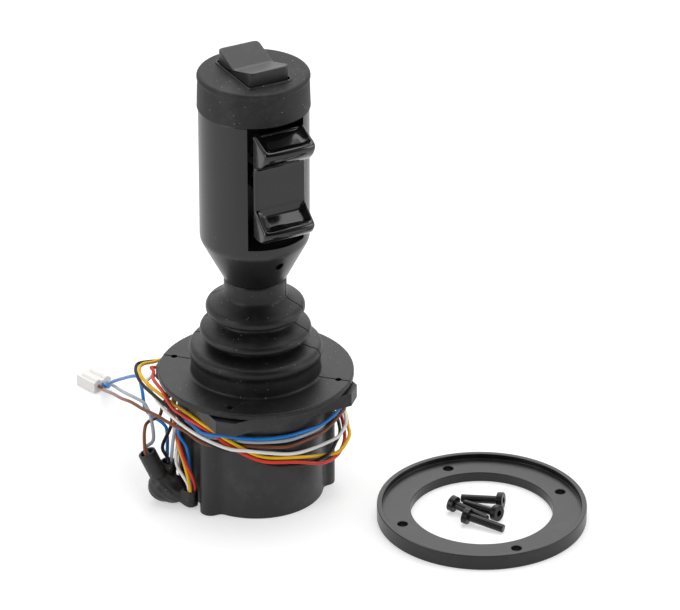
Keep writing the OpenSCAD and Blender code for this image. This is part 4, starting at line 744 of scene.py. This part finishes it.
paddle_high = 0.155
paddle_side = np.array([
    (20.5, -24.0), (24.2, -24.9), (28.4, -24.3), (31.4, -22.4), (32.9, -20.2), (33.0, -18.7),
    (32.0, -17.6), (28.2, -15.0), (24.7, -12.6), (23.6, -11.2), (23.5, -9.0), (23.5, 6.2),
    (23.8, 7.6), (25.6, 8.6), (29.2, 10.4), (32.2, 13.2), (33.8, 16.0), (33.8, 17.9),
    (32.2, 19.1), (27.0, 20.9), (22.0, 22.8), (20.5, 22.4)]) * mm
paddle_half = 0.0118


def dense(outline, spacing):
    """Points a fixed distance apart along a closed outline."""
    loop = np.vstack([outline, outline[:1]])
    run = np.concatenate([[0], np.cumsum(np.linalg.norm(np.diff(loop, axis=0), axis=1))])
    at = np.linspace(0, run[-1], int(run[-1] / spacing), endpoint=False)
    return np.column_stack([np.interp(at, run, loop[:, k]) for k in (0, 1)])


def paddle_grid():
    """The paddle's side outline carried across its width with rounded ends. Towards the ends its
    lips are drawn in, by 1.3 mm times |x / half| to the power 2.5 at the front. Each dish is sunk
    into its upper face, square to it, by its depth times t2 (3 - 2t), with t rising from 0 at the
    lip to 1, times 1 - u1.5, with u rising from 0 to 1 near the ends."""
    side = dense(rounded(paddle_side, 0.0013, 6, closed=True), 0.0003)
    grid = rounded_bar(np.column_stack([-side[:, 0], side[:, 1]]), paddle_half, 0.0014, middle=26)
    x = grid[..., 0]
    out = np.clip((-grid[..., 1] - 0.0245) / 0.009, 0, 1)
    grid[..., 1] += 0.0013 * out * np.abs(x / paddle_half) ** 2.5
    for lip, back, depth in (((33.4, 18.3), (21.6, 22.8), 1.5),
                             ((32.7, -17.9), (24.2, -12.2), 1.9)):
        lip, back = np.array(lip) * mm, np.array(back) * mm
        length = np.linalg.norm(back - lip)
        way = (back - lip) / length
        square = np.array([way[1], -way[0]])
        if square[1] < 0:
            square = -square
        rel = np.stack([-grid[..., 1], grid[..., 2]], -1) - lip
        s, off = rel @ way, rel @ square
        rise = np.clip((s - 0.0006) / 0.0036, 0, 1)
        rise = rise * rise * (3 - 2 * rise) * np.clip((length + 0.001 - s) / 0.002, 0, 1)
        near = np.clip(1 - np.abs(off + 0.0002) / 0.0022, 0, 1) ** 0.5
        across = 1 - np.clip((np.abs(x) - 0.0074) / (paddle_half - 0.0084), 0, 1) ** 1.5
        sink = depth * mm * rise * across * (near > 0.05) * np.clip(near * 2, 0, 1)
        grid[..., 1] += sink * square[0]
        grid[..., 2] -= sink * square[1]
    grid[..., 2] += paddle_high
    return grid


paddle_gloss = finish("paddle_gloss", (0.0027, 0.0026, 0.0027), (0.0045, 0.0043, 0.0046),
                      rough=0.10, rough_swing=0.03, fine_scale=900.0, cloud_scale=80.0,
                      bump=0.015, specks=0.2, share=0.02)
paddle_piece = surface("paddle_skin", paddle_grid(), cap=True, sharp=60.0)
settle(paddle_piece, paddle_gloss, "paddle", "paddle_rocker")

# Two flat arms reach back from the panel to the pin.
arm_sides = np.array([(-0.021, 0.151), (-0.0065, 0.151), (-0.0065, 0.159), (-0.021, 0.159)])
arm_half = 0.0011
for arm_name, arm_x in (("paddle_arm_left", -0.008), ("paddle_arm_right", 0.008)):
    arm_grid = np.stack([np.column_stack([np.full(len(arm_sides), x), arm_sides])
                         for x in (arm_x - arm_half, arm_x + arm_half)])
    arm_piece = surface(arm_name, arm_grid, cap=True)
    wear(arm_piece, paddle_gloss)
    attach(arm_piece, "paddle")

# ---- Shrunk sleeve ----------------------------------------------------------
# A black heat-shrunk sleeve over the wires' splices. It has drawn in round them, so its skin is
# slightly buckled, and its three mouths stay open round the wires.

sleeve_rubber = finish("sleeve_rubber", (0.0063, 0.006, 0.006), (0.0099, 0.0094, 0.0095),
                       rough=0.48, rough_swing=0.08, fine_scale=1500.0, cloud_scale=200.0,
                       bump=0.3, smears=0.08, specks=0.3, share=0.05)
sleeve_piece = eased("splice_sleeve", 0.0001, sleeve_rubber)
# Its skin is made anew in even small faces and smoothed, in place of the rounded edges.
sleeve_piece.modifiers.clear()
sleeve_even = sleeve_piece.modifiers.new("even", "REMESH")
sleeve_even.mode = "VOXEL"
sleeve_even.voxel_size = 0.00034
sleeve_soft = sleeve_piece.modifiers.new("soft", "SMOOTH")
sleeve_soft.factor, sleeve_soft.iterations = 0.5, 6
set_in(sleeve_piece)
sleeve_mesh = sleeve_piece.data
sleeve_spots = rows_of(sleeve_mesh.vertices, "co")
sleeve_normals = rows_of(sleeve_mesh.vertices, "normal")
# Buckles below the mouths: 0.09 mm times 1 + w inwards along the normals, where w is made of
# crossed slow waves over the place in millimetres.
sleeve_buckle, sleeve_mouths = 0.00009, 14
sleeve_x, sleeve_y, sleeve_z = sleeve_spots.T * 1000
sleeve_wave = (np.sin(1.3 * sleeve_x + 0.7 * sleeve_z) * np.sin(0.9 * sleeve_y - 1.1 * sleeve_z)
               + 0.5 * np.sin(2.1 * sleeve_z + sleeve_x - sleeve_y))
sleeve_spots -= sleeve_normals * (sleeve_buckle * (sleeve_wave[:, None] + 1.0)) * (
    sleeve_z[:, None] < sleeve_mouths)
sleeve_mesh.vertices.foreach_set("co", sleeve_spots.ravel())
sleeve_mesh.polygons.foreach_set("use_smooth", np.ones(len(sleeve_mesh.polygons), bool))
wear(sleeve_piece, sleeve_rubber)

# ---- White plug -------------------------------------------------------------
# A three-way crimp plug housing moulded in natural white nylon, with two round ribs along its top
# and brass contacts in its ways.

plug_nylon = finish("plug_nylon", (0.80, 0.79, 0.76), (0.88, 0.87, 0.85), rough=0.38,
                    fine_scale=1500.0, cloud_scale=300.0, bump=0.1)
brass = finish("brass", (0.55, 0.38, 0.14), (0.66, 0.47, 0.20), rough=0.28, fine_scale=3000.0,
               cloud_scale=500.0, bump=0.1, metallic=1.0)
plug_piece = eased("plug_housing", 0.00025, plug_nylon)
dress("plug_contacts switch_terminals", brass)

# ---- Panel ring and its screws ----------------------------------------------
# The ring that clamps the boot to a panel is moulded in satin black plastic, with a raised lip.
# Its four socket screws are steel, blackened. They lie loose inside it.

ring_plastic = finish("ring_plastic", (0.0063, 0.006, 0.0062), (0.009, 0.0086, 0.0087),
                      rough=0.34, fine_scale=3200.0, cloud_scale=35.0, bump=0.12, smears=0.03,
                      specular=0.42)
eased("panel_ring", 0.00035, ring_plastic)
eased("panel_screws", 0.0002, screw_black)

# ---- Inner parts ------------------------------------------------------------
# Inside the housing and the grip: cast and turned metal parts of the gimbal, steel pins, springs
# and screws, the sensor board, and moulded carriers. They show only through the window.

cast_alloy = finish("cast_alloy", (0.42, 0.43, 0.44), (0.50, 0.51, 0.52), rough=0.42,
                    fine_scale=2600.0, cloud_scale=150.0, bump=0.2, metallic=0.9)
bright_steel = finish("bright_steel", (0.58, 0.58, 0.59), (0.66, 0.66, 0.67), rough=0.24,
                      fine_scale=5000.0, cloud_scale=200.0, bump=0.06, metallic=1.0)
board_green = finish("board_green", (0.012, 0.085, 0.030), (0.018, 0.115, 0.042), rough=0.36,
                     fine_scale=1800.0, cloud_scale=260.0, bump=0.08)
moulded_black = finish("moulded_black", (0.0063, 0.006, 0.0062), (0.0095, 0.009, 0.0091),
                       rough=0.5, fine_scale=2800.0, cloud_scale=90.0, bump=0.2)
soft_rubber = finish("soft_rubber", (0.0059, 0.0056, 0.0058), (0.009, 0.0086, 0.0087), rough=0.58,
                     fine_scale=2200.0, cloud_scale=120.0, bump=0.25)
dress("bearing_frame spring_seat pivot_block spring_collar gimbal_ring", cast_alloy)
dress("gimbal_pins stick_pins stick_shaft seat_screws board_screws set_screw rocker_pin "
      "paddle_pin paddle_magnet sensing_magnet", bright_steel)
dress("circuit_board paddle_sensor", board_green)
dress("bottom_cover hall_sensor magnet_holder grip_chassis", moulded_black)
dress("wire_grommet", soft_rubber)

# ---- Springs ----------------------------------------------------------------
# The centering spring is a cone of 5.5 turns of 1.6 mm steel wire between its seat and the collar
# on the stick. It is made in two lengths. The paddle's torsion spring has four turns round the
# paddle's pin and two legs.

# The coil lies flat for its first 0.8 turns, climbs over the next 3.9, and is cut in two where
# it passes the height coil_cut.
coil_turns, coil_flat, coil_climb, coil_cut = 5.5, 0.8, 3.9, 0.0665
coil_t = np.linspace(0, 1, 331)
coil_rise = np.clip((coil_t * coil_turns - coil_flat) / coil_climb, 0, 1)
coil_r = 15.5 - 4.5 * coil_t
coil_turn = 2 * np.pi * coil_turns * coil_t
coil_line = np.stack([coil_r * np.cos(coil_turn), coil_r * np.sin(coil_turn),
                      58.9 + 15.0 * coil_rise + 0.15 * coil_t], -1) * mm
coil_half = int(np.argmax(coil_line[:, 2] > coil_cut))
for coil_name, coil_part, coil_bodies, coil_span in (
        ("centering_spring_lower", coil_line[:coil_half + 1], ("base", "gimbal"),
         (0.0592, 0.0662)),
        ("centering_spring_upper", coil_line[coil_half:], ("gimbal", "handle"),
         (0.0668, 0.0738))):
    coil = surface(coil_name, round_tube(coil_part, 0.0008, 10), cap=True)
    wear(coil, bright_steel)
    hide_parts("centering_spring")
    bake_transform(coil)

hair_end = 8 * np.pi
hair_turn = np.linspace(0, hair_end, 97)
hair_line = np.vstack([
    [-3.0, 2.4, 161.0],
    np.stack([-3 + 6 * hair_turn / hair_end, -10 - 2.4 * np.sin(hair_turn),
              155 + 2.4 * np.cos(hair_turn)], -1),
    [3.0, -19.8, 161.0]]) * mm
hair_spring = surface("torsion_spring", round_tube(hair_line, 0.00035, 8), cap=True)
wear(hair_spring, bright_steel)
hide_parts("paddle_spring")
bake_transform(hair_spring)
